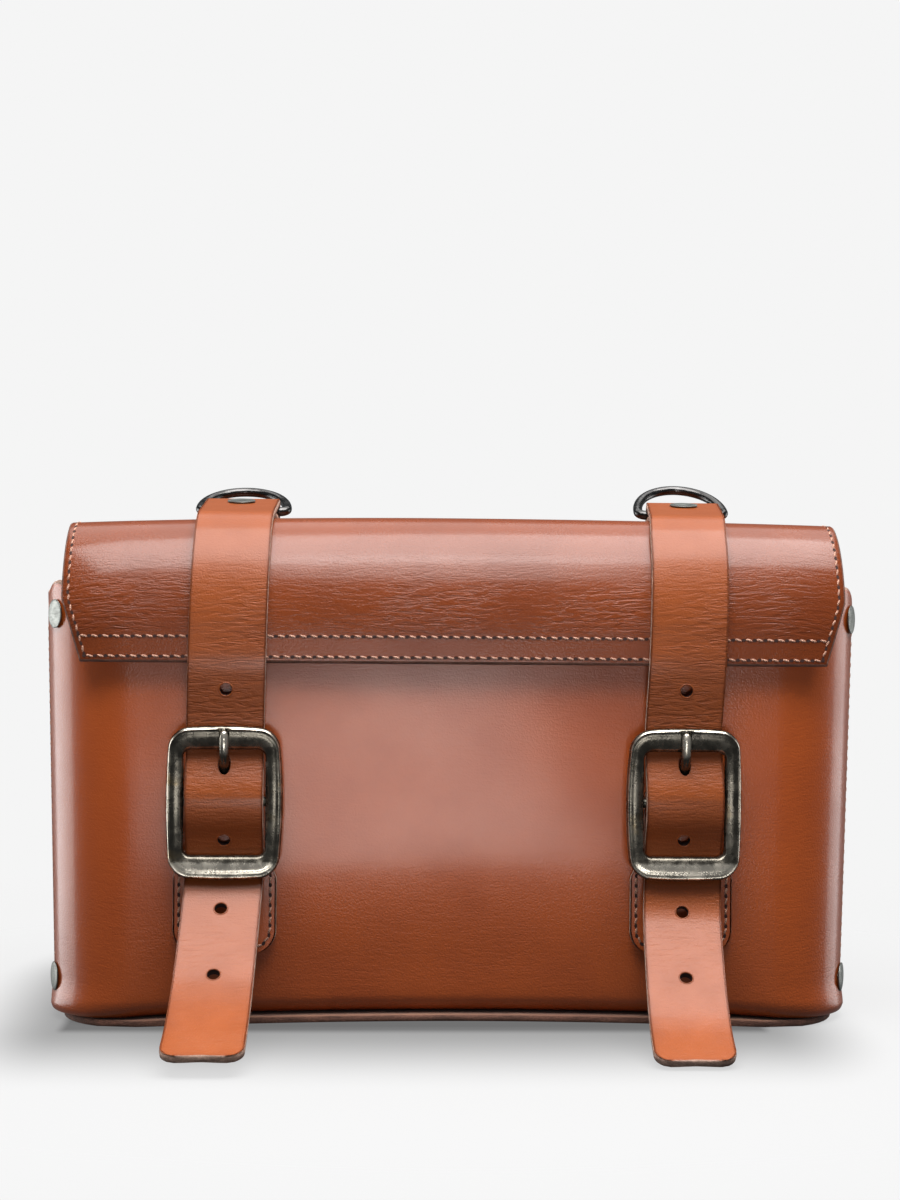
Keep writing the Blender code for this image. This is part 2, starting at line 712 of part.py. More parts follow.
def make_chape(name, side, leather):
    """A tab sewn below the buckle that folds round its bar, slotted for the prong."""
    pad_y = FRONT_Y - GAP - CHAPE / 2
    path = [Vector((pad_y, CHAPE_BOTTOM + CHAPE_CORNER * part)) for part in (0.0, 0.1, 0.3, 0.6, 1.0)]
    path += [Vector((pad_y, NECK_LOW_Z)), Vector((pad_y, NECK_Z))]
    path += [Vector((BAR_Y + CHAPE_LOOP, BUCKLE_Z - 0.0045))]
    for i in range(9):
        angle = math.radians(22.5 * i)
        path.append(Vector((BAR_Y + CHAPE_LOOP * math.cos(angle), BUCKLE_Z + CHAPE_LOOP * math.sin(angle))))
    # the end of the fold is tucked in between the tab and the strap
    path += [Vector((BAR_Y - CHAPE_LOOP + 0.0006, BUCKLE_Z - 0.0030))]
    path += [Vector((pad_y - CHAPE - 0.0004, BUCKLE_Z - 0.0085))]
    middle = STRAP_X[side]

    def half_width(row):
        z = path[row].y
        widest = CHAPE_HALF_WIDTH - rounded_end(z - CHAPE_BOTTOM, CHAPE_CORNER)
        part = min(max((z - NECK_LOW_Z) / (NECK_Z - NECK_LOW_Z), 0.0), 1.0)
        return widest + (CHAPE_NECK - CHAPE_HALF_WIDTH) * part

    chape = make_strip(name, lambda z: middle, path, CHAPE, leather, half_width)
    half_slot = PRONG_WIRE + 0.0008
    slot = add_box_cutter(
        f"{name}_slot",
        (middle - half_slot, BAR_Y - 0.008, BUCKLE_Z - 0.0052),
        (middle + half_slot, FRONT_Y + 0.001, BUCKLE_Z + 0.006),
    )
    cut(chape, slot)
    return chape


def make_rivet(name, place, out, stack, metal, drilled, spare=RIVET_SPARE):
    """A domed cap outside and a headed post inside, through a stack of leather that thick.

    drilled are the pieces it goes through.
    """
    dome = [(0.0, 1.0), (0.45, 0.93), (0.75, 0.7), (0.93, 0.4), (1.0, 0.1), (1.0, 0.0), (0.0, 0.0)]
    cap = add_turned(f"{name}_cap", [(r * RIVET_RADIUS, h * RIVET_DOME) for r, h in dome], parts, metal)
    point_along(cap, Vector(place) + GAP * Vector(out), out)
    low = -stack - spare
    shank = [(0.0, 0.0), (POST_RADIUS, 0.0), (POST_RADIUS, low)]
    head = [(HEAD_RADIUS, low), (HEAD_RADIUS, low - HEAD), (0.0, low - HEAD)]
    post = add_turned(f"{name}_post", shank + head, parts, metal)
    point_along(post, place, out)
    for layer in drilled:
        hole = add_cutter(f"{name}_hole_{layer.name}", POST_RADIUS + GAP, 0.030)
        point_along(hole, place, out)
        cut(layer, hole)
    return [cap, post]


def make_side_rivets(metal, front_panel, gussets):
    """Where each wing is riveted to the side behind it: (degrees round the corner arc, height)."""
    places = {
        "upper_rivet_left": (37.0, UPPER_RIVET_Z),
        "upper_rivet_right": (26.0, UPPER_RIVET_Z),
        "lower_rivet_left": (24.0, LOWER_RIVET_Z),
        "lower_rivet_right": (24.0, LOWER_RIVET_Z),
    }
    for name, (degrees, z) in places.items():
        side_name = name.split("_")[-1]
        side = dict(SIDES)[side_name]
        turn = math.radians(degrees)
        x, y, _ = shell_point((ARC_X, ARC_Y, math.cos(turn), -math.sin(turn)), 0.0, z)
        out = (side * math.cos(turn), -math.sin(turn), 0.0)
        make_rivet(name, (side * x, y, z), out, 2 * NEST, metal, [front_panel, gussets[side_name]])


def make_loop_rivet(name, side, metal, layers):
    """The rivet that closes a strap loop on the flap, square to the sloping upper layer."""
    fold_end, bend = loop_path()[12], strap_arc(LOOP_ANGLE)
    run = (bend - fold_end).normalized()
    y, z = fold_end + run * LOOP_RIVET_RUN
    out = Vector((0.0, run.y, -run.x))
    place = Vector((strap_x(side, z), y, z)) + out * (STRAP / 2)
    stack = 2 * STRAP + FLAP_LEATHER + LINING + 3 * GAP
    return make_rivet(f"loop_rivet_{name}", place, out, stack, metal, layers, LOOP_RIVET_SPARE)


def build():
    tan = make_material("tan_leather", (0.27, 0.065, 0.024), 0.42)
    strap_tan = make_material("strap_leather", (0.34, 0.095, 0.035), 0.45)
    lining_tan = make_material("lining_leather", (0.36, 0.16, 0.08), 0.8)
    brass = make_material("antique_brass", (0.13, 0.11, 0.08), 0.35, 1.0)
    nickel = make_material("nickel", (0.55, 0.53, 0.49), 0.35, 1.0)

    front_panel = make_front_panel(tan)
    gussets = {name: make_gusset(f"gusset_{name}", side, tan) for name, side in SIDES}
    make_back_panel(tan)
    make_bottom_panel(tan)
    make_side_rivets(nickel, front_panel, gussets)

    flap = make_flap(tan, lining_tan)
    outer, _, lined = flap
    hinge = (0.0, BACK_Y, HINGE_Z)
    hardware = []
    flap_pivot = add_pivot("flap_pivot", hinge, flap)
    for name, side in SIDES:
        loop = make_strap_loop(f"strap_loop_{name}", side, strap_tan)
        rivet = make_loop_rivet(name, side, nickel, [loop, outer, lined])
        for piece in (loop, *rivet):
            piece.parent = flap_pivot
            piece.matrix_parent_inverse = Matrix.Translation(-Vector(hinge))
        strap = make_strap(f"strap_{name}", side, strap_tan)
        ring = make_d_ring(f"d_ring_{name}", side, nickel)
        make_chape(f"chape_{name}", side, tan)
        buckle = make_buckle(f"buckle_{name}", side, brass)
        prong = make_prong(f"prong_{name}", side, brass)
        lift = strap_arc(STRAP_HINGE)
        bar = ring_bar()
        hardware.append((f"strap_{name}_pivot", (strap_x(side, lift.y), *lift), strap, flap_pivot))
        hardware.append((f"d_ring_{name}_pivot", (strap_x(side, bar.y), *bar), ring, flap_pivot))
        hardware.append((f"buckle_{name}_pivot", (STRAP_X[side], BAR_Y, BUCKLE_Z), buckle, None))
        hardware.append((f"prong_{name}_pivot", (STRAP_X[side], BAR_Y, BUCKLE_Z), prong, None))
    for name, place, piece, parent in hardware:
        add_pivot(name, place, [piece], parent)


for old in list(bpy.data.objects):
    bpy.data.objects.remove(old)
parts = make_collection("saddle_bag")
cutters = make_collection("cutters")
build()
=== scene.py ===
"""The looks of the leather saddle bag: leather skins, seams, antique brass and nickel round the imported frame.

Metres, +Z up; the front faces -Y. Sizes that part.py sets are read from the frame's boxes or repeated here.
"""
import json
import math

import bmesh
import bpy
import numpy as np
from mathutils import Matrix, Vector

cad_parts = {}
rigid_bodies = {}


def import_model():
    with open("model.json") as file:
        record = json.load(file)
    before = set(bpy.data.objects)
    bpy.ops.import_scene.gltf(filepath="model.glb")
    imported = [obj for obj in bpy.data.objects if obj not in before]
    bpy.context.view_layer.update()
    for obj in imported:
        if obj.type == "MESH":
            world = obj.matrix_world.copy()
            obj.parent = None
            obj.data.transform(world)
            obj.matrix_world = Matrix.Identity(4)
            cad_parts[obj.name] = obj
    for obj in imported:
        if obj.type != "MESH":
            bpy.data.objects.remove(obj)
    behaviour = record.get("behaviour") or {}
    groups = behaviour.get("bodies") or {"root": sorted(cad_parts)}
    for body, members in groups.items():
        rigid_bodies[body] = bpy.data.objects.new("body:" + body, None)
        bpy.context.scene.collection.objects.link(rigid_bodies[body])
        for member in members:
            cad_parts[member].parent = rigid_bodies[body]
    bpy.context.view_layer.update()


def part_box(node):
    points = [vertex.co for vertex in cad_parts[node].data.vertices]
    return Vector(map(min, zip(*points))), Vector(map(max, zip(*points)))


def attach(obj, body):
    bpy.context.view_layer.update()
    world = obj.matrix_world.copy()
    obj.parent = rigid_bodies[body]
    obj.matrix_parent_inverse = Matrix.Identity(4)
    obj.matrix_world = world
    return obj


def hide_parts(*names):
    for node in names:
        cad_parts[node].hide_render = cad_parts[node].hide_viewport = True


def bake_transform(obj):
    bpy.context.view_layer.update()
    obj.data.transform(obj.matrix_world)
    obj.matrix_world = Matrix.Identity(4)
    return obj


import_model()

SIDES = (("left", -1), ("right", 1))
QUARTER = math.pi / 2
TINY = 1e-12

# The studio
WHITE = 0.913  # the surround that the camera sees
FILL = 0.14
PAPER = 0.08
GLOW = 0.75  # the paper's own light, so that cast shadows on it stay faint
PAINTED_SHADOW_DEPTH = 0.57  # how dark the painted contact shadow makes the paper where the bag meets it
PAINTED_SHADOW_X = -0.012  # the middle of that shadow
PAINTED_SHADOW_HALF_WIDTH = 0.112
PAINTED_SHADOW_FADE = 0.08

# Sizes read from the frame
front_low, front_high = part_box("front_panel")
_, back_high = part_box("back_panel")
flap_low, flap_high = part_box("flap_outer")
base_low, base_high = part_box("bottom_panel")
HALF_WIDTH = back_high[0]
FRONT_Y = front_low[1]
BACK_Y = back_high[1]
BODY_TOP = front_high[2]
FLAP_FRONT_Y = flap_low[1]
FLAP_EDGE_Z = flap_low[2]
FLAP_HALF_WIDTH = flap_high[0]
BASE = base_high[2]

# The body, as in part.py
LEATHER = 0.0025
GAP = 0.0003
NEST = LEATHER + GAP
CORNER = 0.030
ROLL = 0.0065
ROLL_Z = BASE + GAP
ARCH = 0.0022  # how far the bottom edge arches up between the corners
TUCK = 0.004  # how far the bottom of the front curves in
EAR_RISE = 0.002
LIP = 0.010
TAPER = 0.025
WING_END = math.radians(14.0)
ARC_X = HALF_WIDTH - CORNER
ARC_Y = FRONT_Y + CORNER

# The flap, as in part.py
HINGE_Z = 0.1525
FLAP_LEATHER = 0.002
BAND_TOP_Z = FLAP_EDGE_Z + 0.0115
FLAP_SLANT_Z = 0.139
FLAP_SLANT = 0.0065
FLAP_REACH = 0.025
FLAP_RISE = 0.038
FLAP_ARC_Y = FLAP_FRONT_Y + FLAP_REACH
FLAP_ARC_Z = 0.127
FLAP_TOP_Z = FLAP_ARC_Z + FLAP_RISE
FLAP_BEND_RADIUS = 0.080
FLAP_BEND_Y = -0.030
REAR_RADIUS = 0.006
REAR_ARC_Y = BACK_Y - REAR_RADIUS
REAR_ARC_Z = HINGE_Z + 0.0005
FLAP_FALL = FLAP_TOP_Z - REAR_ARC_Z - REAR_RADIUS

# The straps and rings, as in part.py
STRAP_X = {-1: -0.0735, 1: 0.0735}
STRAP_LEAN = {-1: 0.022, 1: 0.037}  # sideways run as the strap rises above its buckle
STRAP_WIDTH = 0.025
STRAP = 0.0024
STRAP_HINGE = 45.0
HOLE_RADIUS = 0.002
HOLE_PITCH = 0.0248
PRONG_HOLE = 1  # which of the holes, counted from the top
PRONG_HOLE_STRETCH = 1.8
LOOP_ANGLE = 84.0
RING_WIRE = 0.0016
RING_BAR_Y = 0.006
RING_LEAN = {-1: math.radians(20.0), 1: math.radians(26.0)}
RING_HALF_WIDTH = 0.0149
RING_BEND = 0.0026
RING_HEIGHT = 0.022
LOOP_RADIUS = RING_WIRE + GAP + STRAP / 2

# The buckles, as in part.py
BUCKLE_Z = 0.0738
BUCKLE_Y = -0.0490
BUCKLE_HALF_HEIGHT = 0.0244
BUCKLE_END = 0.0076
BUCKLE_HALF_WIDTH = 0.0172
BUCKLE_SIDE = 0.0042
BUCKLE_ARCH = 0.0010
BUCKLE_THICK = 0.004
BUCKLE_BOW = 0.0032
BAR_Y = -0.0445
BAR_RADIUS = 0.0016
PRONG_WIRE = 0.0015
PRONG_HOLE_Z = BUCKLE_Z + 0.0123
EYE_WIRE = 0.001
EYE_RADIUS = BAR_RADIUS + 0.00025 + EYE_WIRE
CHAPE = 0.0018
CHAPE_LOOP = BAR_RADIUS + GAP + CHAPE / 2
CHAPE_BOTTOM = 0.0245
CHAPE_CORNER = 0.008
CHAPE_HALF_WIDTH = 0.0166
CHAPE_NECK = 0.0122

# Looks only: what the photograph shows beyond the CAD
CORNER_PINCH = 0.92  # how much narrower the rolled edge is at the front corners
CORNER_FLARE = 0.0016  # how far the corners stand out again at the very bottom
EAR_RADIUS = 0.011
BASE_FRONT_CORNER = 0.024
BASE_BACK_CORNER = 0.004
CROWN = 0.0006  # how far the middle of the flap's top rises
DROOP = {-1: 0.0026, 1: 0.0014}  # how far its ends fall from there
TAIL_LEAN = {-1: 0.045, 1: 0.066}  # sideways run as the strap falls below its buckle
TOP_LEAN = {-1: 0.010, 1: 0.095}  # and as it runs back over the flap, behind TOP_START
TOP_START = -0.035
BUCKLE_BULGE = 0.0014
BUCKLE_CORNER = 0.0058
BUCKLE_INNER_CORNER = 0.0025
STITCH_PITCH = 0.0035
CHAPE_STITCH_PITCH = 0.0032
STITCH_SPANS = (0.0, 0.12, 0.3, 0.5, 0.7, 0.88, 1.0)
STITCH_SLANT = 0.00024
STITCH_LIFT = 0.00022
STITCH_SINK = 0.00016
THREAD = 0.00034
# size of the dark disc painted as a needle hole's shade, and how far it lifts
NEEDLE_HOLE = (0.00072, 0.00052)
NEEDLE_HOLE_LIFT = 0.00010
SMOOTH_CREASE = 0.12  # how creased plain leather is, from 0 to 1
SIDE_SEAM = 0.0026  # from the flap's side edge to its stitching
EDGE_SEAMS = (0.0021, 0.0087)  # from its front edge
BACK_SEAM = 0.0035
WING_SEAM = 0.0028
CHAPE_SEAM = 0.0020
RIVET_RADIUS = 0.0047
RIVET_RIM = 0.00035
CAP_DOME = {"side": 0.0008, "loop": 0.0005}
RIVET_Z = {"upper": 0.133, "lower": 0.0135}
RIVET_TURN = {"upper": {-1: 34.0, 1: 26.0}, "lower": {-1: 21.5, 1: 21.5}}  # degrees round the front's corner
LOOP_RIVET_RUN = 0.0085  # how far in front of the ring the loop's rivet is
UNEVEN = 0.00045  # how far the front dips
GUSSET_SINK = 0.0016
BAND = 0.0015
LINING = 0.0008
LINING_TRIM = 0.0008
RIM_WIRE = 0.00028
RIM_RADIUS = HOLE_RADIUS + 0.00022


# ---------------------------------------------------------------- materials


def new_material(name):
    material = bpy.data.materials.new(name)
    material.use_nodes = True
    return material, material.node_tree, material.node_tree.nodes["Principled BSDF"]


def add_node(tree, kind, **values):
    node = tree.nodes.new(kind)
    for key, value in values.items():
        if key in node.inputs:
            node.inputs[key].default_value = value
        else:
            setattr(node, key, value)
    return node


def attribute(tree, name, output="Fac"):
    return add_node(tree, "ShaderNodeAttribute", attribute_name=name).outputs[output]


def object_place(tree):
    return add_node(tree, "ShaderNodeTexCoord").outputs["Object"]


def scaled(tree, vector, scale):
    mapping = add_node(tree, "ShaderNodeMapping", Scale=scale)
    tree.links.new(vector, mapping.inputs["Vector"])
    return mapping.outputs["Vector"]


def noise(tree, vector, scale, detail=3.0, roughness=0.5, distortion=0.0):
    values = {"Scale": scale, "Detail": detail, "Roughness": roughness, "Distortion": distortion}
    node = add_node(tree, "ShaderNodeTexNoise", **values)
    tree.links.new(vector, node.inputs["Vector"])
    return node.outputs["Fac"]


def ramp(tree, value, low, high, to_low=0.0, to_high=1.0):
    limits = {"From Min": low, "From Max": high, "To Min": to_low, "To Max": to_high}
    node = add_node(tree, "ShaderNodeMapRange", interpolation_type="SMOOTHSTEP", **limits)
    tree.links.new(value, node.inputs["Value"])
    return node.outputs["Result"]


def feed(tree, socket, value):
    """Set a socket to a number or an RGB colour, or link another node's output to it."""
    if isinstance(value, (int, float)):
        socket.default_value = value
    elif isinstance(value, tuple):
        socket.default_value = (*value, 1.0)
    else:
        tree.links.new(value, socket)


def math_node(tree, operation, *values):
    node = add_node(tree, "ShaderNodeMath", operation=operation)
    for socket, value in zip(node.inputs, values):
        feed(tree, socket, value)
    return node.outputs["Value"]


def mix_colour(tree, factor, first, second):
    node = add_node(tree, "ShaderNodeMix", data_type="RGBA")
    for socket, value in ((node.inputs["Factor"], factor), (node.inputs[6], first), (node.inputs[7], second)):
        feed(tree, socket, value)
    return node.outputs[2]


def darker(colour, share):
    return tuple(share * part for part in colour)


def finish_shader(tree, shader, tone, roughness, heights, **values):
    """Feed a Principled shader its colour, roughness, bumps of (height, distance, strength) and the rest."""
    feed(tree, shader.inputs["Base Color"], tone)
    feed(tree, shader.inputs["Roughness"], roughness)
    for name, value in values.items():
        shader.inputs[name.replace("_", " ")].default_value = value
    normal = None
    for height, distance, strength in heights:
        bump = add_node(tree, "ShaderNodeBump", Distance=distance, Strength=strength)
        tree.links.new(height, bump.inputs["Height"])
        if normal:
            tree.links.new(normal, bump.inputs["Normal"])
        normal = bump.outputs["Normal"]
    tree.links.new(normal, shader.inputs["Normal"])


def leather_material(name, colour, dark, roughness, coat, specular=0.35, coat_roughness=0.17):
    """Smooth waxed leather: grain, creases across it where it has bent with painted shade in their valleys,
    mottled colour, burnished edges.

    The pieces' own attributes say where on the hide a spot is, how creased it is and how much paler it is made.
    """
    material, tree, shader = new_material(name)
    flat = attribute(tree, "flat", "Vector")
    mottle = noise(tree, flat, 28.0, detail=5.0, roughness=0.6)
    cloud = noise(tree, flat, 9.0, detail=2.0)
    pores = noise(tree, flat, 1500.0, detail=2.0)
    cells = add_node(tree, "ShaderNodeTexVoronoi", feature="DISTANCE_TO_EDGE", Scale=900.0)
    tree.links.new(flat, cells.inputs["Vector"])
    grain = ramp(tree, cells.outputs["Distance"], 0.0, 0.25)
    fold_place = scaled(tree, flat, (140.0, 760.0, 1.0))
    folds = noise(tree, fold_place, 1.0, detail=3.0, roughness=0.55, distortion=0.9)
    fine = noise(tree, scaled(tree, flat, (420.0, 1300.0, 1.0)), 1.0, detail=2.0, distortion=0.8)
    where = ramp(tree, noise(tree, flat, 30.0, detail=1.0), 0.35, 0.6, 0.35, 1.0)
    creased = math_node(tree, "MULTIPLY", attribute(tree, "crease"), where)
    fold_height = math_node(tree, "MULTIPLY", ramp(tree, folds, 0.32, 0.6), creased)
    fine_height = math_node(tree, "MULTIPLY", fine, creased)
    # painted shade: darker colour in the valleys of the creases
    painted_crease_shade = math_node(tree, "MULTIPLY", ramp(tree, folds, 0.3, 0.46, 0.3, 0.0), creased)

    pale = tuple(1.5 * part + 0.012 for part in colour)
    # the strap is made paler towards its lower end
    tone = mix_colour(tree, attribute(tree, "paler_low"), colour, pale)
    burnish = ramp(tree, attribute(tree, "edge"), 0.0, 0.0022, 0.3, 0.0)
    mottling = ramp(tree, mottle, 0.35, 0.7, 0.0, 0.35)
    clouding = ramp(tree, cloud, 0.4, 0.7, 0.0, 0.25)
    for amount in (mottling, clouding, burnish, painted_crease_shade):
        tone = mix_colour(tree, amount, tone, dark)
    rough = ramp(tree, mottle, 0.3, 0.75, roughness - 0.05, roughness + 0.08)
    heights = (
        (fold_height, 0.00032, 0.7),
        (fine_height, 0.00016, 0.5),
        (grain, 0.00006, 0.4),
        (pores, 0.00009, 0.45),
    )
    finish_shader(tree, shader, tone, rough, heights, Specular_IOR_Level=specular, Coat_Weight=coat)
    shader.inputs["Coat Roughness"].default_value = coat_roughness
    return material


def cut_edge_material(name, colour):
    """The raw fibres of a cut edge."""
    material, tree, shader = new_material(name)
    place = object_place(tree)
    fibres = noise(tree, place, 1400.0, detail=4.0, roughness=0.7)
    bands = noise(tree, scaled(tree, place, (120.0, 500.0, 500.0)), 1.0, detail=3.0)
    tone = mix_colour(tree, ramp(tree, bands, 0.3, 0.7), darker(colour, 0.5), colour)
    tone = mix_colour(tree, ramp(tree, fibres, 0.35, 0.65, 0.0, 0.5), tone, darker(colour, 0.25))
    finish_shader(tree, shader, tone, 0.85, ((fibres, 0.0003, 0.7),))
    return material


def suede_material(name, colour, dark):
    """The fleshy side of the leather, and the lining."""
    material, tree, shader = new_material(name)
    place = object_place(tree)
    nap = noise(tree, place, 1100.0, detail=4.0, roughness=0.7)
    cloud = noise(tree, place, 35.0, detail=4.0)
    tone = mix_colour(tree, ramp(tree, cloud, 0.3, 0.7), colour, dark)
    tone = mix_colour(tree, ramp(tree, nap, 0.35, 0.7, 0.0, 0.4), tone, dark)
    finish_shader(tree, shader, tone, 0.9, ((nap, 0.0003, 0.6),), Sheen_Weight=0.25, Sheen_Roughness=0.5)
    return material


def thread_material(name, dark, light):
    """Waxed thread, in twisted strands."""
    material, tree, shader = new_material(name)
    bands = {"wave_type": "BANDS", "bands_direction": "DIAGONAL"}
    twist = add_node(tree, "ShaderNodeTexWave", Scale=900.0, Distortion=2.0, **bands)
    tree.links.new(object_place(tree), twist.inputs["Vector"])
    strands = twist.outputs["Fac"]
    finish_shader(tree, shader, mix_colour(tree, strands, dark, light), 0.6, ((strands, 0.0002, 0.6),))
    return material


def painted_hole_shade_material(name, dark, light):
    """Painted shade for the inside of a hole: near black."""
    material, tree, shader = new_material(name)
    fibres = noise(tree, object_place(tree), 900.0, detail=3.0)
    finish_shader(tree, shader, mix_colour(tree, fibres, dark, light), 0.9, ((fibres, 0.0003, 0.5),))
    return material


def brass_material(name, dark, light, rubbed_and_lit_tone, gold_tone, pit_tone):
    """Dark antique brass, a little golden, rubbed pale where it stands proud, and paler still where a painted
    highlight is laid on.
    """
    material, tree, shader = new_material(name)
    place = object_place(tree)
    patches = noise(tree, place, 160.0, detail=6.0, roughness=0.65)
    spots = noise(tree, place, 700.0, detail=4.0, roughness=0.7)
    wear_and_highlight = math_node(tree, "ADD", attribute(tree, "wear_and_highlight"), math_node(tree, "MULTIPLY", patches, 0.9))
    tone = mix_colour(tree, ramp(tree, patches, 0.35, 0.65), dark, light)
    tone = mix_colour(tree, ramp(tree, wear_and_highlight, 0.75, 1.25), tone, rubbed_and_lit_tone)
    gold = ramp(tree, noise(tree, place, 90.0, detail=3.0), 0.62, 0.75, 0.0, 0.4)
    tone = mix_colour(tree, gold, tone, gold_tone)
    tone = mix_colour(tree, ramp(tree, spots, 0.3, 0.38, 0.75, 0.0), tone, pit_tone)
    rough = ramp(tree, patches, 0.3, 0.7, 0.18, 0.34)
    finish_shader(tree, shader, tone, rough, ((patches, 0.0003, 0.5), (spots, 0.00006, 0.5)), Metallic=0.92)
    return material


def nickel_material(name, colour, roughness):
    """Brushed nickel, a little clouded."""
    material, tree, shader = new_material(name)
    place = object_place(tree)
    brushed = noise(tree, scaled(tree, place, (400.0, 400.0, 2600.0)), 1.0, detail=3.0)
    cloud = noise(tree, place, 260.0, detail=4.0)
    tone = mix_colour(tree, ramp(tree, cloud, 0.35, 0.7), colour, darker(colour, 0.62))
    rough = ramp(tree, brushed, 0.3, 0.7, roughness, roughness + 0.16)
    finish_shader(tree, shader, tone, rough, ((brushed, 0.00005, 0.5), (cloud, 0.0001, 0.3)), Metallic=1.0)
    return material


def painted_contact_shadow(tree, place):
    """How much of the paper's light is left under a shadow painted round the bag, drawn a little to its left.
    """
    parts = add_node(tree, "ShaderNodeSeparateXYZ")
    tree.links.new(place, parts.inputs[0])

    def beyond(part, limit):
        size = math_node(tree, "ABSOLUTE", part)
        return math_node(tree, "MAXIMUM", math_node(tree, "SUBTRACT", size, limit), 0.0)

    across = beyond(math_node(tree, "SUBTRACT", parts.outputs["X"], PAINTED_SHADOW_X), PAINTED_SHADOW_HALF_WIDTH)
    across = math_node(tree, "MULTIPLY", across, 2.0)
    ahead = beyond(parts.outputs["Y"], BACK_Y)
    squares = [math_node(tree, "POWER", part, 2.0) for part in (across, ahead)]
    away = math_node(tree, "SQRT", math_node(tree, "ADD", *squares))
    close = ramp(tree, away, -0.002, 0.008, 0.45, 1.0)
    return math_node(tree, "MULTIPLY", ramp(tree, away, 0.0, PAINTED_SHADOW_FADE, 1.0 - PAINTED_SHADOW_DEPTH, 1.0), close)


def paper_material():
    """The pale studio floor, with a shadow painted into its colour and glow round the bag, clear past a soft
    border round it.
    """
    material, tree, shader = new_material("studio_floor")
    place = object_place(tree)
    speckle = noise(tree, place, 60.0, detail=2.0)
    black, white = (0.0, 0.0, 0.0), (1.0, 1.0, 1.0)
    shade = painted_contact_shadow(tree, place)
    lit = mix_colour(tree, speckle, darker(white, PAPER), darker(white, 0.99 * PAPER))
    # the painted shadow darkens both the paper's colour and its glow
    tree.links.new(mix_colour(tree, shade, black, lit), shader.inputs["Base Color"])
    tree.links.new(mix_colour(tree, shade, black, white), shader.inputs["Emission Color"])
    for name, value in (("Roughness", 0.95), ("Specular IOR Level", 0.0), ("Emission Strength", GLOW)):
        shader.inputs[name].default_value = value
    reach = add_node(tree, "ShaderNodeVectorMath", operation="LENGTH")
    tree.links.new(scaled(tree, place, (0.75, 1.0, 1.0)), reach.inputs[0])
    tree.links.new(ramp(tree, reach.outputs["Value"], 0.14, 0.34, 1.0, 0.0), shader.inputs["Alpha"])
    return material


# ---------------------------------------------------------------- mesh tools


def unit(vectors):
    return vectors / np.maximum(np.linalg.norm(vectors, axis=-1, keepdims=True), TINY)


def circle(count):
    """(cos, sin) of angles spaced evenly all the way round."""
    angles = [2 * math.pi * k / count for k in range(count)]
    return [(math.cos(angle), math.sin(angle)) for angle in angles]


def tube_faces(first, rings, sides, closed=False):
    """Faces through rings of points counted from the first point; an open tube gets a cap at each end."""
    faces = []
    for ring in range(rings if closed else rings - 1):
        low, high = first + ring * sides, first + (ring + 1) % rings * sides
        for side in range(sides):
            after = (side + 1) % sides
            faces.append((low + side, low + after, high + after, high + side))
    if not closed:
        faces.append(tuple(first + side for side in reversed(range(sides))))
        faces.append(tuple(first + (rings - 1) * sides + side for side in range(sides)))
    return faces


def new_piece(name, vertices, faces, kinds, materials):
    """A smooth mesh in the scene; kinds says which of the materials each face takes."""
    mesh = bpy.data.meshes.new(name)
    mesh.from_pydata([tuple(point) for point in vertices], [], [tuple(face) for face in faces])
    for material in materials:
        mesh.materials.append(material)
    mesh.polygons.foreach_set("material_index", kinds)
    mesh.validate()
    mesh.shade_smooth()
    piece = bpy.data.objects.new(name, mesh)
    bpy.context.scene.collection.objects.link(piece)
    return piece


def tube(name, rings, material, closed=False):
    """A solid through rings of points."""
    vertices = [point for ring in rings for point in ring]
    faces = tube_faces(0, len(rings), len(rings[0]), closed)
    return new_piece(name, vertices, faces, [0] * len(faces), [material])


def store(piece, name, values):
    values = np.asarray(values, np.float32)
    if values.ndim == 2:
        piece.data.attributes.new(name, "FLOAT_VECTOR", "POINT").data.foreach_set("vector", values.ravel())
    else:
        piece.data.attributes.new(name, "FLOAT", "POINT").data.foreach_set("value", values)


def fit(piece, body, slot, *replaced):
    """Say which body a piece rides and which CAD nodes it stands for; slot, the slot it would take, is not
    used.
    """
    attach(piece, body)
    if replaced:
        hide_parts(*replaced)


def recalculated(piece):
    """Turn a closed piece's faces so that they point outwards."""
    bm = bmesh.new()
    bm.from_mesh(piece.data)
    bmesh.ops.recalc_face_normals(bm, faces=bm.faces)
    bm.to_mesh(piece.data)
    bm.free()
    return piece


def grid_normals(points):
    """Unit normals of a grid of points, on the side that column x row points to."""
    return unit(np.cross(np.gradient(points, axis=0), np.gradient(points, axis=1)))


def measured(points):
    """Each grid point's place on the leather laid flat, in metres: (across, along)."""
    across = np.zeros(points.shape[:2])
    along = np.zeros(points.shape[:2])
    across[1:] = np.cumsum(np.linalg.norm(np.diff(points, axis=0), axis=2), axis=0)
    along[:, 1:] = np.cumsum(np.linalg.norm(np.diff(points, axis=1), axis=2), axis=1)
    across -= across.mean(axis=0, keepdims=True)
    return across, along


def border_of(columns, rows):
    """The (column, row) places round a grid, in order."""
    border = [(i, 0) for i in range(columns)] + [(columns - 1, j) for j in range(1, rows)]
    border += [(i, rows - 1) for i in range(columns - 2, -1, -1)]
    return border + [(0, j) for j in range(rows - 2, 0, -1)]


def border_directions(points):
    """Unit directions out of a grid at its border points, and nothing elsewhere."""
    ends, sides = np.zeros_like(points), np.zeros_like(points)
    ends[0] += points[0] - points[1]
    ends[-1] += points[-1] - points[-2]
    sides[:, 0] += points[:, 0] - points[:, 1]
    sides[:, -1] += points[:, -1] - points[:, -2]
    return unit(unit(ends) + unit(sides))


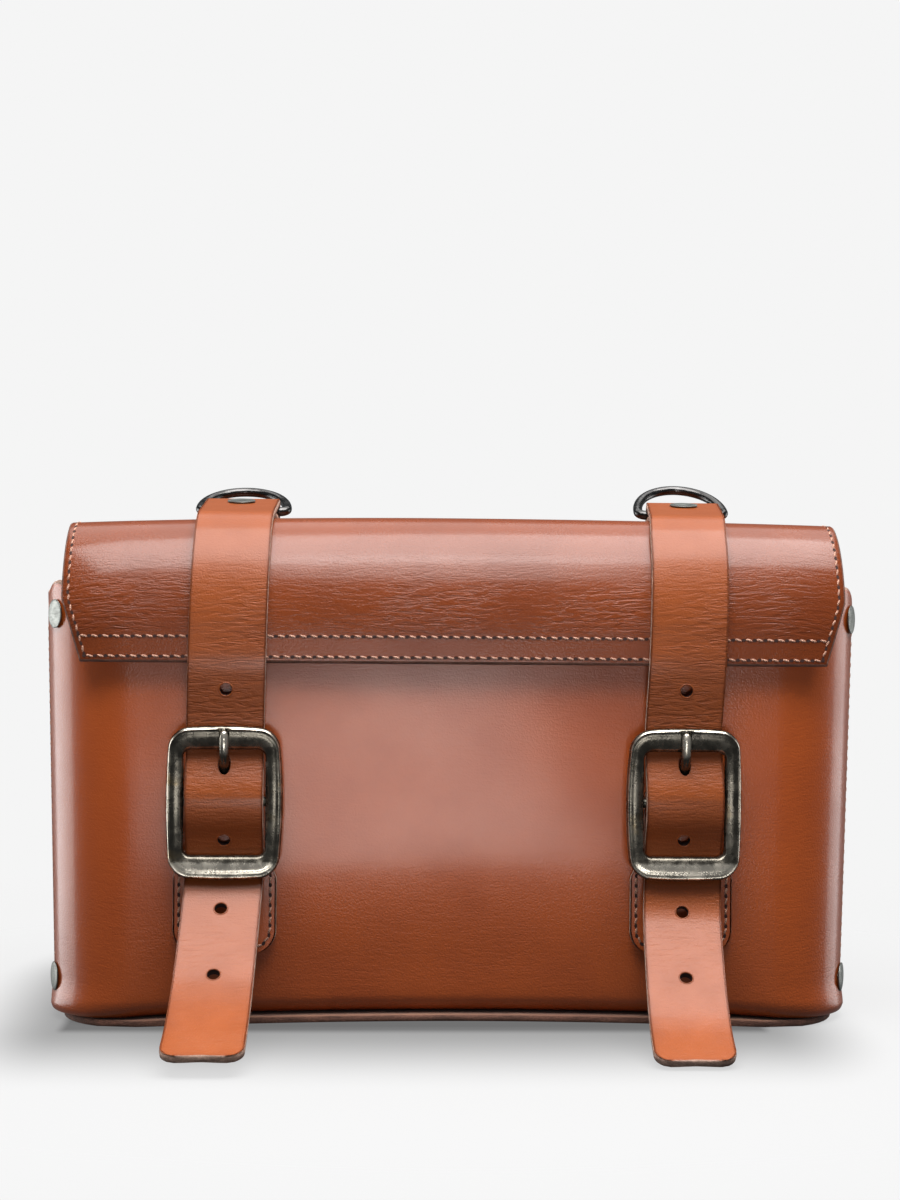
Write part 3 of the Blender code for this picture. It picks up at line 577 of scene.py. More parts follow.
def sheet_faces(columns, rows, rim_steps):
    """A closed sheet's faces and their kinds: 0 on the face, 1 on the back and 2 round the rim."""
    count = columns * rows
    faces, kinds = [], []
    for first in (i * rows + j for i in range(columns - 1) for j in range(rows - 1)):
        quad = (first, first + rows, first + rows + 1, first + 1)
        faces += [quad, tuple(count + quad[k] for k in (0, 3, 2, 1))]
        kinds += [0, 1]
    loop = [i * rows + j for i, j in border_of(columns, rows)]
    size = len(loop)
    between = [[2 * count + step * size + k for k in range(size)] for step in range(rim_steps - 1)]
    rings = [loop, *between, [count + k for k in loop]]
    for upper, lower in zip(rings, rings[1:]):
        for k in range(size):
            after = (k + 1) % size
            faces.append((upper[k], lower[k], lower[after], upper[after]))
            kinds.append(2)
    return faces, kinds


def leather_piece(name, points, thickness, materials, edge=0.45, rim_steps=4, centred=False, crease=None):
    """A closed sheet of leather from a grid of its face's points, with rounded cut edges.

    materials are those of the face, the flesh side and the cut edge. The grid is shrunk at its border by
    the edge's rounding, so the sheet's outline is the grid's. crease says how creased each point is.
    """
    columns, rows = points.shape[:2]
    normals = grid_normals(points)
    if centred:
        points = points + normals * thickness / 2
    across, along = measured(points)
    outward = border_directions(points)
    reach = thickness * edge
    face = points - outward * reach
    vertices = [face.reshape(-1, 3), (face - normals * thickness).reshape(-1, 3)]
    rim = tuple(np.array(border_of(columns, rows)).T)
    for step in range(1, rim_steps):
        angle = math.pi * step / rim_steps
        depth = thickness * (1 - math.cos(angle)) / 2
        vertices.append(face[rim] - normals[rim] * depth + outward[rim] * reach * math.sin(angle))
    vertices = np.concatenate(vertices)
    piece = new_piece(name, vertices, *sheet_faces(columns, rows, rim_steps), materials)
    flat = np.stack([across, along, np.zeros_like(across)], axis=2)
    ring_flat = np.tile(flat[rim], (rim_steps - 1, 1))
    flat = flat.reshape(-1, 3)
    store(piece, "flat", np.concatenate([flat, flat, ring_flat]))
    side = np.minimum(across - across.min(axis=0, keepdims=True), across.max(axis=0, keepdims=True) - across)
    end = np.minimum(along, along.max(axis=1, keepdims=True) - along)
    near = np.minimum(side, end).reshape(-1)
    store(piece, "edge", np.concatenate([near, near, np.zeros(len(ring_flat))]))
    store(piece, "crease", crease(vertices) if crease else np.full(len(vertices), SMOOTH_CREASE))
    return piece


def lengths_along(points):
    """Each point's distance from the first one, along a polyline."""
    return np.concatenate([[0.0], np.cumsum(np.linalg.norm(np.diff(points, axis=0), axis=1))])


def interpolated(values, lengths, wanted):
    """Rows of values at wanted lengths along a path."""
    return np.stack([np.interp(wanted, lengths, column) for column in values.T], axis=-1)


def resampled(path, pitch):
    """Points spaced evenly along a polyline of (point, normal) arrays."""
    points, normals = path
    lengths = lengths_along(points)
    wanted = np.linspace(0.0, lengths[-1], max(int(round(lengths[-1] / pitch)), 1) + 1)
    return interpolated(points, lengths, wanted), unit(interpolated(normals, lengths, wanted))


def stitch_rings(start, end, up):
    """Rings of one sunken-ended, slightly slanting stitch from one needle hole to the next."""
    length = np.linalg.norm(end - start)
    run = (end - start) / length
    across = unit(np.cross(run, up))
    rings = []
    for t in STITCH_SPANS:
        bow = math.sin(math.pi * t) ** 0.6 if 0 < t < 1 else 0.0
        centre = start + run * length * (0.19 + 0.62 * t) + across * STITCH_SLANT * (2 * t - 1)
        centre = centre + up * (STITCH_LIFT * bow - STITCH_SINK)
        thick = THREAD * (0.7 + 0.3 * bow)
        rings.append([centre + across * x * thick * 1.15 + up * y * thick * 0.85 for x, y in circle(6)])
    return rings


def stitches(name, paths, materials, pitch=STITCH_PITCH):
    """Thread stitches along (points, normals) paths, with a dark disc painted as the shade of a needle hole
    between each and the next.
    """
    vertices, faces, kinds = [], [], []
    for path in paths:
        spots, out = resampled(path, pitch)
        for k in range(len(spots) - 1):
            rings = stitch_rings(spots[k], spots[k + 1], unit(out[k] + out[k + 1]))
            thread = tube_faces(len(vertices), len(rings), len(rings[0]))
            vertices += [point for ring in rings for point in ring]
            faces += thread
            kinds += [0] * len(thread)
        for k, spot in enumerate(spots):
            run = unit(spots[min(k + 1, len(spots) - 1)] - spots[max(k - 1, 0)])
            across = np.cross(run, out[k])
            faces.append(tuple(len(vertices) + s for s in range(8)))
            kinds.append(1)
            for x, y in circle(8):
                offset = run * x * NEEDLE_HOLE[0] + across * y * NEEDLE_HOLE[1]
                vertices.append(spot + offset + out[k] * NEEDLE_HOLE_LIFT)
    return new_piece(name, vertices, faces, kinds, materials)


def turned(name, profile, place, out, material, steps=48):
    """A solid turned about an axis from (radius, height) points that run from the bottom to the top."""
    turn = Vector(out).to_track_quat("Z", "Y").to_matrix()
    rings = []
    for radius, height in profile:
        ring = [Vector((radius * x, radius * y, height)) for x, y in circle(steps)]
        rings.append([Vector(place) + turn @ point for point in ring])
    return tube(name, rings, material)


def wire(name, points, radii, material, closed=False, sides=14):
    """A round wire along points, with a radius for each of them or one for all."""
    points = [Vector(point) for point in points]
    count = len(points)
    rings = []
    up = None
    for k, point in enumerate(points):
        after = points[(k + 1) % count] if closed or k < count - 1 else point
        before = points[k - 1] if closed or k > 0 else point
        run = (after - before).normalized()
        if up is None:
            up = run.orthogonal().normalized()
        up = (up - run * up.dot(run)).normalized()
        across = run.cross(up)
        size = radii[k] if isinstance(radii, list) else radii
        rings.append([point + (up * x + across * y) * size for x, y in circle(sides)])
    return tube(name, rings, material, closed)


# ---------------------------------------------------------------- camera, light and floor


def make_camera():
    """The photograph's view: from the front, slightly left of the middle, about level."""
    data = bpy.data.cameras.new("camera")
    camera = bpy.data.objects.new("camera", data)
    bpy.context.scene.collection.objects.link(camera)
    data.sensor_fit = "VERTICAL"
    data.sensor_height = 36.0
    data.lens = 60.0
    camera.location = (-0.0266, -0.6844, 0.1431)
    pitch, yaw, roll = math.radians(-0.40), math.radians(-2.19), math.radians(0.49)
    turn = Matrix.Rotation(yaw, 3, "Z") @ Matrix.Rotation(pitch, 3, "X") @ Matrix.Rotation(QUARTER, 3, "X")
    camera.rotation_euler = (turn @ Matrix.Rotation(roll, 3, "Z")).to_euler()
    bpy.context.scene.camera = camera


def add_light(name, place, target, size, power):
    data = bpy.data.lights.new(name, "AREA")
    data.shape = "RECTANGLE"
    data.size, data.size_y = size
    data.energy = power
    light = bpy.data.objects.new(name, data)
    bpy.context.scene.collection.objects.link(light)
    light.visible_camera = False
    light.location = place
    light.rotation_euler = (Vector(target) - Vector(place)).to_track_quat("-Z", "Y").to_euler()


def make_studio():
    """A white surround that only the camera sees, dim fill, and softboxes round the bag."""
    scene = bpy.context.scene
    scene.view_settings.view_transform = "Standard"
    world = bpy.data.worlds.new("studio")
    world.use_nodes = True
    tree = world.node_tree
    fill = tree.nodes["Background"]
    fill.inputs["Color"].default_value = (0.9, 0.95, 1.0, 1.0)
    fill.inputs["Strength"].default_value = FILL
    white = add_node(tree, "ShaderNodeBackground", Strength=1.0)
    white.inputs["Color"].default_value = (WHITE, WHITE, WHITE, 1.0)
    mix = add_node(tree, "ShaderNodeMixShader")
    tree.links.new(add_node(tree, "ShaderNodeLightPath").outputs["Is Camera Ray"], mix.inputs[0])
    tree.links.new(fill.outputs[0], mix.inputs[1])
    tree.links.new(white.outputs[0], mix.inputs[2])
    tree.links.new(mix.outputs[0], tree.nodes["World Output"].inputs["Surface"])
    scene.world = world
    add_light("overhead", (0.05, -0.22, 0.80), (0.0, 0.0, 0.1), (1.0, 0.50), 14.5)
    add_light("behind", (0.0, 0.22, 0.76), (0.0, 0.0, 0.15), (1.0, 0.46), 3.2)
    add_light("front", (0.03, -0.58, 0.80), (0.03, 0.0, 0.08), (0.28, 0.35), 1.8)
    add_light("table", (0.0, -1.10, -0.003), (0.0, -1.10, 1.0), (0.24, 1.3), 9.2)
    add_light("left", (-1.1, 0.35, 0.12), (-0.1, 0.0, 0.08), (0.8, 0.7), 6.8)
    add_light("right", (1.1, 0.40, 0.12), (0.1, 0.0, 0.08), (0.55, 0.7), 2.9)
    make_floor()


def make_floor():
    """Pale paper that fades into the white surround away from the bag."""
    size = 1.5
    corners = [(-size, -size, 0.0), (size, -size, 0.0), (size, size, 0.0), (-size, size, 0.0)]
    floor = new_piece("floor", corners, [(0, 1, 2, 3)], [0], [paper_material()])
    floor.visible_diffuse = False
    floor.visible_glossy = False
    floor.visible_shadow = False


# ---------------------------------------------------------------- body


def gentle_noise(x, y, seed, wave, count=5):
    """A gentle unevenness between -1 and 1, a sum of a few waves."""
    rng = np.random.default_rng(seed)
    total = np.zeros_like(x)
    for _ in range(count):
        direction = rng.uniform(0, math.pi)
        length = wave * rng.uniform(0.6, 1.6)
        phase = rng.uniform(0, 2 * math.pi)
        total += np.sin((x * math.cos(direction) + y * math.sin(direction)) * 2 * math.pi / length + phase)
    return total / count


def faded(values):
    return np.clip(values, 0.0, 1.0)


def arc(centre, radii, first, last, steps):
    """(a, b) points round part of an ellipse, by degrees from the first axis towards the second."""
    turns = np.radians(np.linspace(first, last, steps + 1))
    return [(centre[0] + radii[0] * math.cos(turn), centre[1] + radii[1] * math.sin(turn)) for turn in turns]


def rounded_end(distance, radius):
    """How much narrower a strip is at a distance from its round-cornered end."""
    inside = np.clip(radius - distance, 0.0, radius)
    return radius - np.sqrt(radius**2 - inside**2)


def shell_profile(depth, top, wall_step=0.003, roll_steps=10, lip_steps=4):
    """(inset, z) of a wall's section from its turned-under lip to its top, at a depth inside the outline."""
    radius = ROLL - depth
    profile = [(ROLL + LIP * (1 - k / lip_steps), ROLL_Z + depth) for k in range(lip_steps)]
    profile += arc((ROLL, ROLL_Z + ROLL), (-radius, -radius), 90.0, 0.0, roll_steps)
    start = profile[-1][1]
    steps = int((top - start) / wall_step)
    return profile + [(depth, start + (top - start) * (k + 1) / steps) for k in range(steps)]


def shell_point(station, inset, z):
    """The shell's place at a station and height; the roll is drawn in tight at the front corners."""
    x, y, out_x, out_y = station
    tight = abs(out_x) * min(max((0.02 - y) / 0.03, 0.0), 1.0)
    flare = CORNER_FLARE * max(1.0 - abs(z - ROLL_Z - 0.002) / 0.008, 0.0)
    inset = inset - tight * (CORNER_PINCH * min(inset, ROLL) + flare)
    narrowing = 1.0 - TAPER * (1.0 - z / BODY_TOP)
    reach = CORNER - inset
    return ((x + reach * out_x) * narrowing, y + reach * out_y, z)


def corner_stations(first, last, steps):
    angles = [first + (last - first) * k / steps for k in range(steps + 1)]
    return [(ARC_X, ARC_Y, math.cos(angle), -math.sin(angle)) for angle in angles]


def mirrored(stations):
    return [(-x, y, -out_x, out_y) for x, y, out_x, out_y in reversed(stations)]


def front_grid(flat_steps=34, corner_steps=24):
    """The front and its wings: rolled under at the bottom, round ears at the top, a little uneven."""
    half = [(ARC_X * k / flat_steps, ARC_Y, 0.0, -1.0) for k in range(flat_steps)]
    half += corner_stations(QUARTER, WING_END, corner_steps)
    stations = mirrored(half)[:-1] + half
    profile = shell_profile(0.0, BODY_TOP)
    wall_start = ROLL_Z + ROLL
    step = CORNER * (QUARTER - WING_END) / corner_steps
    grid = np.zeros((len(stations), len(profile), 3))
    for i, station in enumerate(stations):
        from_end = min(i, len(stations) - 1 - i) * step
        ear = min(max(1.0 - (from_end - 0.012) / 0.008, 0.0), 1.0)
        top = BODY_TOP + EAR_RISE * ear - rounded_end(from_end, EAR_RADIUS)
        for j, (inset, z) in enumerate(profile):
            if z > wall_start:
                z = wall_start + (z - wall_start) * (top - wall_start) / (BODY_TOP - wall_start)
            grid[i, j] = shell_point(station, inset, z)
    x, z = grid[..., 0], grid[..., 2]
    uneven = (gentle_noise(x, z, seed=3, wave=0.10) - 1.0) * UNEVEN
    inner = faded((ARC_X - np.abs(x)) / 0.02) * faded(z / 0.02)
    grid = grid + grid_normals(grid) * (uneven * inner)[..., None]
    grid[..., 1] += TUCK * faded(1.0 - z / 0.055) ** 2 * faded((ARC_X + 0.012 - np.abs(x)) / 0.03)
    return arched(grid)


def arched(grid):
    """Lift the bottom in the middle, fading out up the front."""
    x, z = grid[..., 0], grid[..., 2]
    grid[..., 2] += ARCH * faded(1.0 - (x / ARC_X) ** 2) * faded(1.0 - z / 0.05)
    return grid


def gusset_grid(side):
    """A side wall; its middle sinks in a little behind the wing."""
    stations = corner_stations(math.radians(50.0), 0.0, 12)
    stations += [(ARC_X, y, 1.0, 0.0) for y in np.linspace(ARC_Y + 0.003, BACK_Y - LEATHER - GAP, 14)]
    if side < 0:
        stations = mirrored(stations)
    profile = shell_profile(NEST, BODY_TOP - 0.001, wall_step=0.005)
    grid = np.array([[shell_point(station, *spot) for spot in profile] for station in stations])
    y, z = grid[..., 1], grid[..., 2]
    sink = faded((y - ARC_Y) / 0.012) * faded((BACK_Y - 0.004 - y) / 0.02)
    sink *= np.sin(faded(z / BODY_TOP) * math.pi) ** 0.7
    grid[..., 0] -= side * sink * GUSSET_SINK
    return grid


def flap_top(y):
    """The height of the flap's outer face behind its front curve."""
    part = (y - FLAP_ARC_Y) / (REAR_ARC_Y - FLAP_ARC_Y)
    return FLAP_TOP_Z - FLAP_FALL * part**2


def front_curve(angle, depth):
    """(y, z) on the flap's front curve, degrees round from its foot, at a depth inside the flap's face."""
    turn = math.radians(angle)
    y = FLAP_ARC_Y - (FLAP_REACH - depth) * math.cos(turn)
    return y, FLAP_ARC_Z + (FLAP_RISE - depth) * math.sin(turn)


def front_angle(z):
    return math.degrees(math.asin((z - FLAP_ARC_Z) / FLAP_RISE))


def flap_half_width(z):
    """Half the flap's width at a height: its front corners slant in below FLAP_SLANT_Z."""
    return FLAP_HALF_WIDTH - max(FLAP_SLANT_Z - z, 0.0) * FLAP_SLANT / (FLAP_SLANT_Z - FLAP_EDGE_Z)


def back_half_width(z):
    """Half the back's width at a height: round at the foot, and in to the flap's width at the shoulders."""
    low = BODY_TOP - 2 * EAR_RADIUS
    half = HALF_WIDTH * (1.0 - TAPER * (1.0 - z / BODY_TOP)) - rounded_end(z - ROLL_Z, ROLL)
    return half + (FLAP_HALF_WIDTH - half) * faded((z - low) / (HINGE_Z - low)) ** 2


def section_grid(section, across):
    """A grid from rows of (y, z, half width), bent back at the flap's front corners and drooped on top."""
    grid = np.zeros((len(across), len(section), 3))
    for j, (y, z, half) in enumerate(section):
        x = half * across
        past = np.maximum(np.abs(x) - ARC_X, 0.0)
        weight = min(max(y / FLAP_BEND_Y, 0.0), 1.0)
        grid[:, j, 0] = x
        grid[:, j, 1] = y + past**2 / (2 * FLAP_BEND_RADIUS) * weight
        grid[:, j, 2] = z
    return drooped(grid)


def drooped(grid):
    """Raise the flap's top in the middle and let it fall towards its sides."""
    x, y, z = grid[..., 0], grid[..., 1], grid[..., 2]
    fall = np.where(x < 0, DROOP[-1], DROOP[1]) * (x / FLAP_HALF_WIDTH) ** 2
    grid[..., 2] += (CROWN - fall) * faded((z - 0.130) / 0.030) * faded((BACK_Y + 0.010 - y) / 0.030)
    return grid


def back_and_flap_grid():
    """One hide from the back panel's foot up over the hinge and down to the flap's front edge.

    Rows run up the back and over to the front, columns from right to left, so the face points outwards.
    """
    foot = ROLL_Z + ROLL * np.array([0.0, 0.03, 0.1, 0.2, 0.35, 0.55, 0.8])
    back = np.concatenate([foot, np.linspace(ROLL_Z + ROLL, HINGE_Z, 34)])
    flap = arc((REAR_ARC_Y, REAR_ARC_Z), (REAR_RADIUS, REAR_RADIUS), 0.0, 90.0, 8)[1:]
    tops = FLAP_ARC_Y + (REAR_ARC_Y - FLAP_ARC_Y) * np.linspace(0.96, 0.03, 24)
    flap += [(y, flap_top(y)) for y in tops]
    flap += [front_curve(angle, 0.0) for angle in np.linspace(90.0, 0.0, 31)]
    flap += [(FLAP_FRONT_Y, z) for z in np.linspace(FLAP_ARC_Z, FLAP_EDGE_Z, 8)[1:]]
    section = [(BACK_Y, z, back_half_width(z)) for z in back]
    section += [(y, z, flap_half_width(z)) for y, z in flap]
    return section_grid(section, np.linspace(1.0, -1.0, 101))


def flap_layer_grid(section, trim=0.0):
    """A layer inside the flap, from rows of (y, z)."""
    return section_grid([(y, z, flap_half_width(z) - trim) for y, z in section], np.linspace(-1.0, 1.0, 81))


def base_grid(columns=81, rows=31):
    """The base sheet's upper face, round-cornered in front, arched a little between its corners."""
    half, front, back = base_high[0], base_low[1], base_high[1]
    grid = np.zeros((columns, rows, 3))
    for j, y in enumerate(np.linspace(front, back, rows)):
        near = rounded_end(y - front, BASE_FRONT_CORNER) + rounded_end(back - y, BASE_BACK_CORNER)
        grid[:, j, 0] = np.linspace(-1.0, 1.0, columns) * (half - near)
        grid[:, j, 1:] = y, BASE
    return arched(grid)


# ---------------------------------------------------------------- straps


def strap_arc(angle):
    """A place on the strap's middle line where it bends over the flap's front curve."""
    return front_curve(angle, -GAP - STRAP / 2)


def strap_x(side, y, z):
    """The middle of a strap at a place: straight through its buckle, leaning sideways above and below."""
    above = np.maximum(z - BUCKLE_Z - BUCKLE_HALF_HEIGHT, 0.0)
    below = np.maximum(BUCKLE_Z - BUCKLE_HALF_HEIGHT - z, 0.0)
    behind = np.maximum(y - TOP_START, 0.0)
    return STRAP_X[side] + STRAP_LEAN[side] * above - TAIL_LEAN[side] * below + TOP_LEAN[side] * behind


def on_flap(y):
    """A place on the middle line of strap leather that lies on the flap's top."""
    return (y, flap_top(y) + GAP + STRAP / 2)


def ring_bar():
    y, z = on_flap(RING_BAR_Y)
    return y, z + LOOP_RADIUS


def loop_controls():
    """The strap's end under the D-ring's bar, round it, and forward to the flap's front curve."""
    path = [on_flap(RING_BAR_Y - 0.0145), on_flap(RING_BAR_Y - 0.0050)]
    path += arc(ring_bar(), (LOOP_RADIUS, LOOP_RADIUS), -90.0, 100.0, 10)
    middle = tuple((a + b) / 2 for a, b in zip(path[-1], strap_arc(LOOP_ANGLE)))
    return [*path, middle, *(strap_arc(LOOP_ANGLE - 9.0 * k) for k in range(4))]


def strap_controls(side):
    """The strap's front end: down the flap, through its buckle and out to its tail."""
    under_bar = FRONT_Y - GAP - CHAPE - 2 * GAP - STRAP / 2
    over_bar = BAR_Y - CHAPE_LOOP - CHAPE / 2 - GAP - STRAP / 2
    path = [strap_arc(STRAP_HINGE * (1 - k / 5)) for k in range(6)]
    path.append((strap_arc(0.0)[0], FLAP_EDGE_Z - 0.001))
    through_buckle = (
        (under_bar - 0.0002, 0.0265),
        (under_bar, 0.0200),
        (over_bar + 0.0038, 0.0125),
        (over_bar + 0.0005, 0.0045),
        (over_bar, 0.0),
        (over_bar + 0.0008, -0.0055),
        (under_bar - 0.0020, -0.0120),
        (under_bar + 0.0002, BUCKLE_END / 2 - BUCKLE_HALF_HEIGHT),
    )
    path += [(y, BUCKLE_Z + above) for y, above in through_buckle]
    if side < 0:
        tail = ((-0.0462, 0.0480), (-0.0520, 0.0397), (-0.0700, 0.0218), (-0.0870, 0.0117), (-0.1060, 0.0058))
    else:
        tail = ((-0.0450, 0.0480), (-0.0505, 0.0359), (-0.0680, 0.0185), (-0.0815, 0.0085), (-0.0960, 0.0020))
    return [*path, *tail]


def smooth_path(controls, steps):
    """Points on a Catmull-Rom curve through 2D controls."""
    controls = [np.array(point) for point in controls]
    ends = [2 * controls[0] - controls[1], *controls, 2 * controls[-1] - controls[-2]]
    path = []
    for a, b, c, d in zip(ends, ends[1:], ends[2:], ends[3:]):
        for t in (k / steps for k in range(steps)):
            curve = (2 * a - 5 * b + 4 * c - d) * t**2 + (3 * b - a - 3 * c + d) * t**3
            path.append(0.5 * (2 * b + (c - a) * t + curve))
    return np.array([*path, controls[-1]])


def even_path(path, pitch):
    """The path with points at an even pitch, and their distances along it."""
    lengths = lengths_along(path)
    wanted = np.linspace(0.0, lengths[-1], int(lengths[-1] / pitch) + 1)
    return interpolated(path, lengths, wanted), wanted


def strip_grid(x, path, half_width, columns=21):
    """A strap-like grid along a (y, z) path; half_width gives each row's. Columns are closer at the edges."""
    across = np.sin(np.linspace(-0.5, 0.5, columns) * math.pi)
    grid = np.zeros((columns, len(path), 3))
    grid[..., 0] = x + across[:, None] * half_width[None, :]
    grid[..., 1:] = path
    return grid


def strap_shape(side):
    """The whole strap: its grid, its middle line and the distances along that."""
    controls = [*loop_controls(), *strap_controls(side)]
    path, lengths = even_path(smooth_path(controls, 12), 0.0008)
    half = STRAP_WIDTH / 2 - rounded_end(lengths[-1] - lengths, 0.0055) - rounded_end(lengths, 0.002)
    return strip_grid(strap_x(side, path[:, 0], path[:, 1]), path, half), path, lengths


def strap_holes(side, path, lengths):
    """The strap's holes from the top down: each a place, the direction of the strap and the outward one."""
    first = lengths[np.argmax((path[:, 1] < PRONG_HOLE_Z) & (path[:, 0] < -0.03))]
    step = 0.0004
    holes = []
    for spot in (first + number * HOLE_PITCH for number in range(-1, 4)):
        y, z = interpolated(path, lengths, spot)
        run = unit(interpolated(path, lengths, spot + step) - interpolated(path, lengths, spot - step))
        place = np.array([strap_x(side, y, z), y, z])
        holes.append((place, np.array([0.0, run[0], run[1]]), np.array([0.0, run[1], -run[0]])))
    return holes


# ---------------------------------------------------------------- leather pieces


def make_body(m):
    skins = [m["front"], m["flesh"], m["cut"]]
    fit(leather_piece("front_skin", front_grid(), LEATHER, skins), "bag_body", "body_leather", "front_panel")
    for name, side in SIDES:
        gusset = leather_piece(f"gusset_skin_{name}", gusset_grid(side), LEATHER, skins)
        fit(gusset, "bag_body", "body_leather", f"gusset_{name}")
    base = leather_piece("base_skin", base_grid(), BASE, [m["flesh"], m["body"], m["dark_cut"]], edge=0.2)
    fit(base, "bag_body", "body_leather", "bottom_panel")


def flap_crease(places):
    """The flap creases most on its lower front, above the smooth band that's stitched along its edge."""
    heights = (BAND_TOP_Z - 0.003, BAND_TOP_Z, 0.140, 0.150, 0.158)
    lined = np.interp(places[:, 2], heights, (0.1, 0.8, 0.7, 0.25, 0.04))
    return np.where(places[:, 1] < FLAP_ARC_Y, lined, SMOOTH_CREASE)


def make_back_and_flap(m):
    """The back and the flap are one hide that bends at the hinge, with a band and a lining inside."""
    skins = [m["body"], m["flesh"], m["dark_cut"]]
    grid = back_and_flap_grid()
    hide = leather_piece("back_and_flap_skin", grid, FLAP_LEATHER, skins, crease=flap_crease)
    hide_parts("back_panel", "flap_outer")
    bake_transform(hide)

    depth = FLAP_LEATHER + GAP
    section = [(FLAP_FRONT_Y + depth, z) for z in np.linspace(FLAP_EDGE_Z + GAP, FLAP_ARC_Z, 6)[:-1]]
    section += [front_curve(angle, depth) for angle in np.linspace(0.0, front_angle(BAND_TOP_Z), 5)]
    skins = [m["flesh"], m["body"], m["dark_cut"]]
    band = leather_piece("flap_band_skin", flap_layer_grid(section), BAND, skins)
    fit(band, "flap", "body_leather", "flap_band")

    angles = np.linspace(front_angle(BAND_TOP_Z + GAP), 90.0, 25)
    section = [front_curve(angle, depth) for angle in angles]
    section += [(y, flap_top(y) - depth) for y in np.linspace(FLAP_ARC_Y, 0.034, 17)[1:]]
    grid = flap_layer_grid(section, LINING_TRIM)
    lining = leather_piece("flap_lining_skin", grid, LINING, [m["lining"]] * 3)
    fit(lining, "flap", "lining", "flap_lining")


def cut_away(target, cutters, sharp):
    """Take the cutters out of a piece for good, keeping their material inside the cut."""
    for cutter in cutters:
        modifier = target.modifiers.new("cut", "BOOLEAN")
        modifier.solver = "EXACT"
        modifier.object = cutter
        modifier.material_mode = "TRANSFER"
    graph = bpy.context.evaluated_depsgraph_get()
    mesh = bpy.data.meshes.new_from_object(
        target.evaluated_get(graph), preserve_all_data_layers=True, depsgraph=graph
    )
    target.modifiers.clear()
    target.data = mesh
    mesh.set_sharp_from_angle(angle=math.radians(sharp))
    for cutter in cutters:
        bpy.data.objects.remove(cutter)


def round_cutter(name, place, across, along, depth, material):
    """A round or oval solid centred on a place, from its two radii and its depth as vectors."""
    rings = []
    for end in (-0.5, 0.5):
        rings.append([place + across * x + along * y + depth * end for x, y in circle(32)])
    return recalculated(tube(name, rings, material))


def store_strap_place(piece, side, path, lengths):
    """Where each point is on the strap laid flat: needed again after cutting."""
    count = len(piece.data.vertices)
    places = np.zeros(count * 3)
    piece.data.vertices.foreach_get("co", places)
    places = places.reshape(-1, 3)
    x, z = places[:, 0] - strap_x(side, places[:, 1], places[:, 2]), places[:, 2]
    nearest = np.array([np.argmin(((place - path) ** 2).sum(axis=1)) for place in places[:, 1:]])
    after = np.clip(nearest + 1, 1, len(path) - 1)
    run = unit(path[after] - path[after - 1])
    along = lengths[nearest] + ((places[:, 1:] - path[nearest]) * run).sum(axis=1)
    for name in ("flat", "edge", "crease"):
        piece.data.attributes.remove(piece.data.attributes[name])
    store(piece, "flat", np.stack([x, along, np.zeros(count)], axis=1))
    near = np.minimum(STRAP_WIDTH / 2 - np.abs(x), np.minimum(along, lengths[-1] - along))
    store(piece, "edge", np.maximum(near, 0.0))
    heights = (0.0, 0.03, 0.08, 0.095, 0.125, 0.145, 0.158)
    store(piece, "crease", np.interp(z, heights, (0.12, 0.3, 0.4, 1.0, 0.9, 0.4, 0.04)))
    # paler towards the strap's lower end, by height alone
    store(piece, "paler_low", np.interp(z, (0.0, 0.03, 0.05, 0.09), (0.9, 0.62, 0.25, 0.0)))


def make_strap(name, side, m):
    """A strap with its holes punched through; the one that the prong fills is pulled long."""
    grid, path, lengths = strap_shape(side)
    skins = [m["strap"], m["flesh"], m["cut"]]
    piece = leather_piece(f"strap_skin_{name}", grid[::-1], STRAP, skins, edge=0.3, rim_steps=6, centred=True)
    holes = strap_holes(side, path, lengths)
    across = np.array([HOLE_RADIUS, 0.0, 0.0])
    cutters = []
    for number, (place, along, out) in enumerate(holes):
        length = HOLE_RADIUS * (PRONG_HOLE_STRETCH if number == PRONG_HOLE else 1.0)
        # the holes' walls take the near-black painted hole shade
        cutters.append(round_cutter(f"hole_{number}", place, across, along * length, out * 0.006, m["dark"]))
    cut_away(piece, cutters, sharp=50.0)
    store_strap_place(piece, side, path, lengths)
    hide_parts(f"strap_{name}", f"strap_loop_{name}")
    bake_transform(piece)
    make_hole_rims(name, holes, m)


def make_hole_rims(name, holes, m):
    """The leather stands up a little round each hole, but for the prong's."""
    for number, (place, along, out) in enumerate(holes):
        if number == PRONG_HOLE:
            continue
        centre = place + out * (STRAP / 2 - 0.00012)
        across = np.array([1.0, 0.0, 0.0])
        points = [centre + (across * x + along * y) * RIM_RADIUS for x, y in circle(32)]
        rim = wire(f"hole_rim_{name}_{number}", points, RIM_WIRE, m["strap"], closed=True, sides=8)
        count = len(rim.data.vertices)
        store(rim, "flat", np.tile([0.01 * number, 0.03 * number, 0.0], (count, 1)))
        store(rim, "edge", np.full(count, 0.0014))
        fit(rim, f"strap_{name}", "strap_leather")


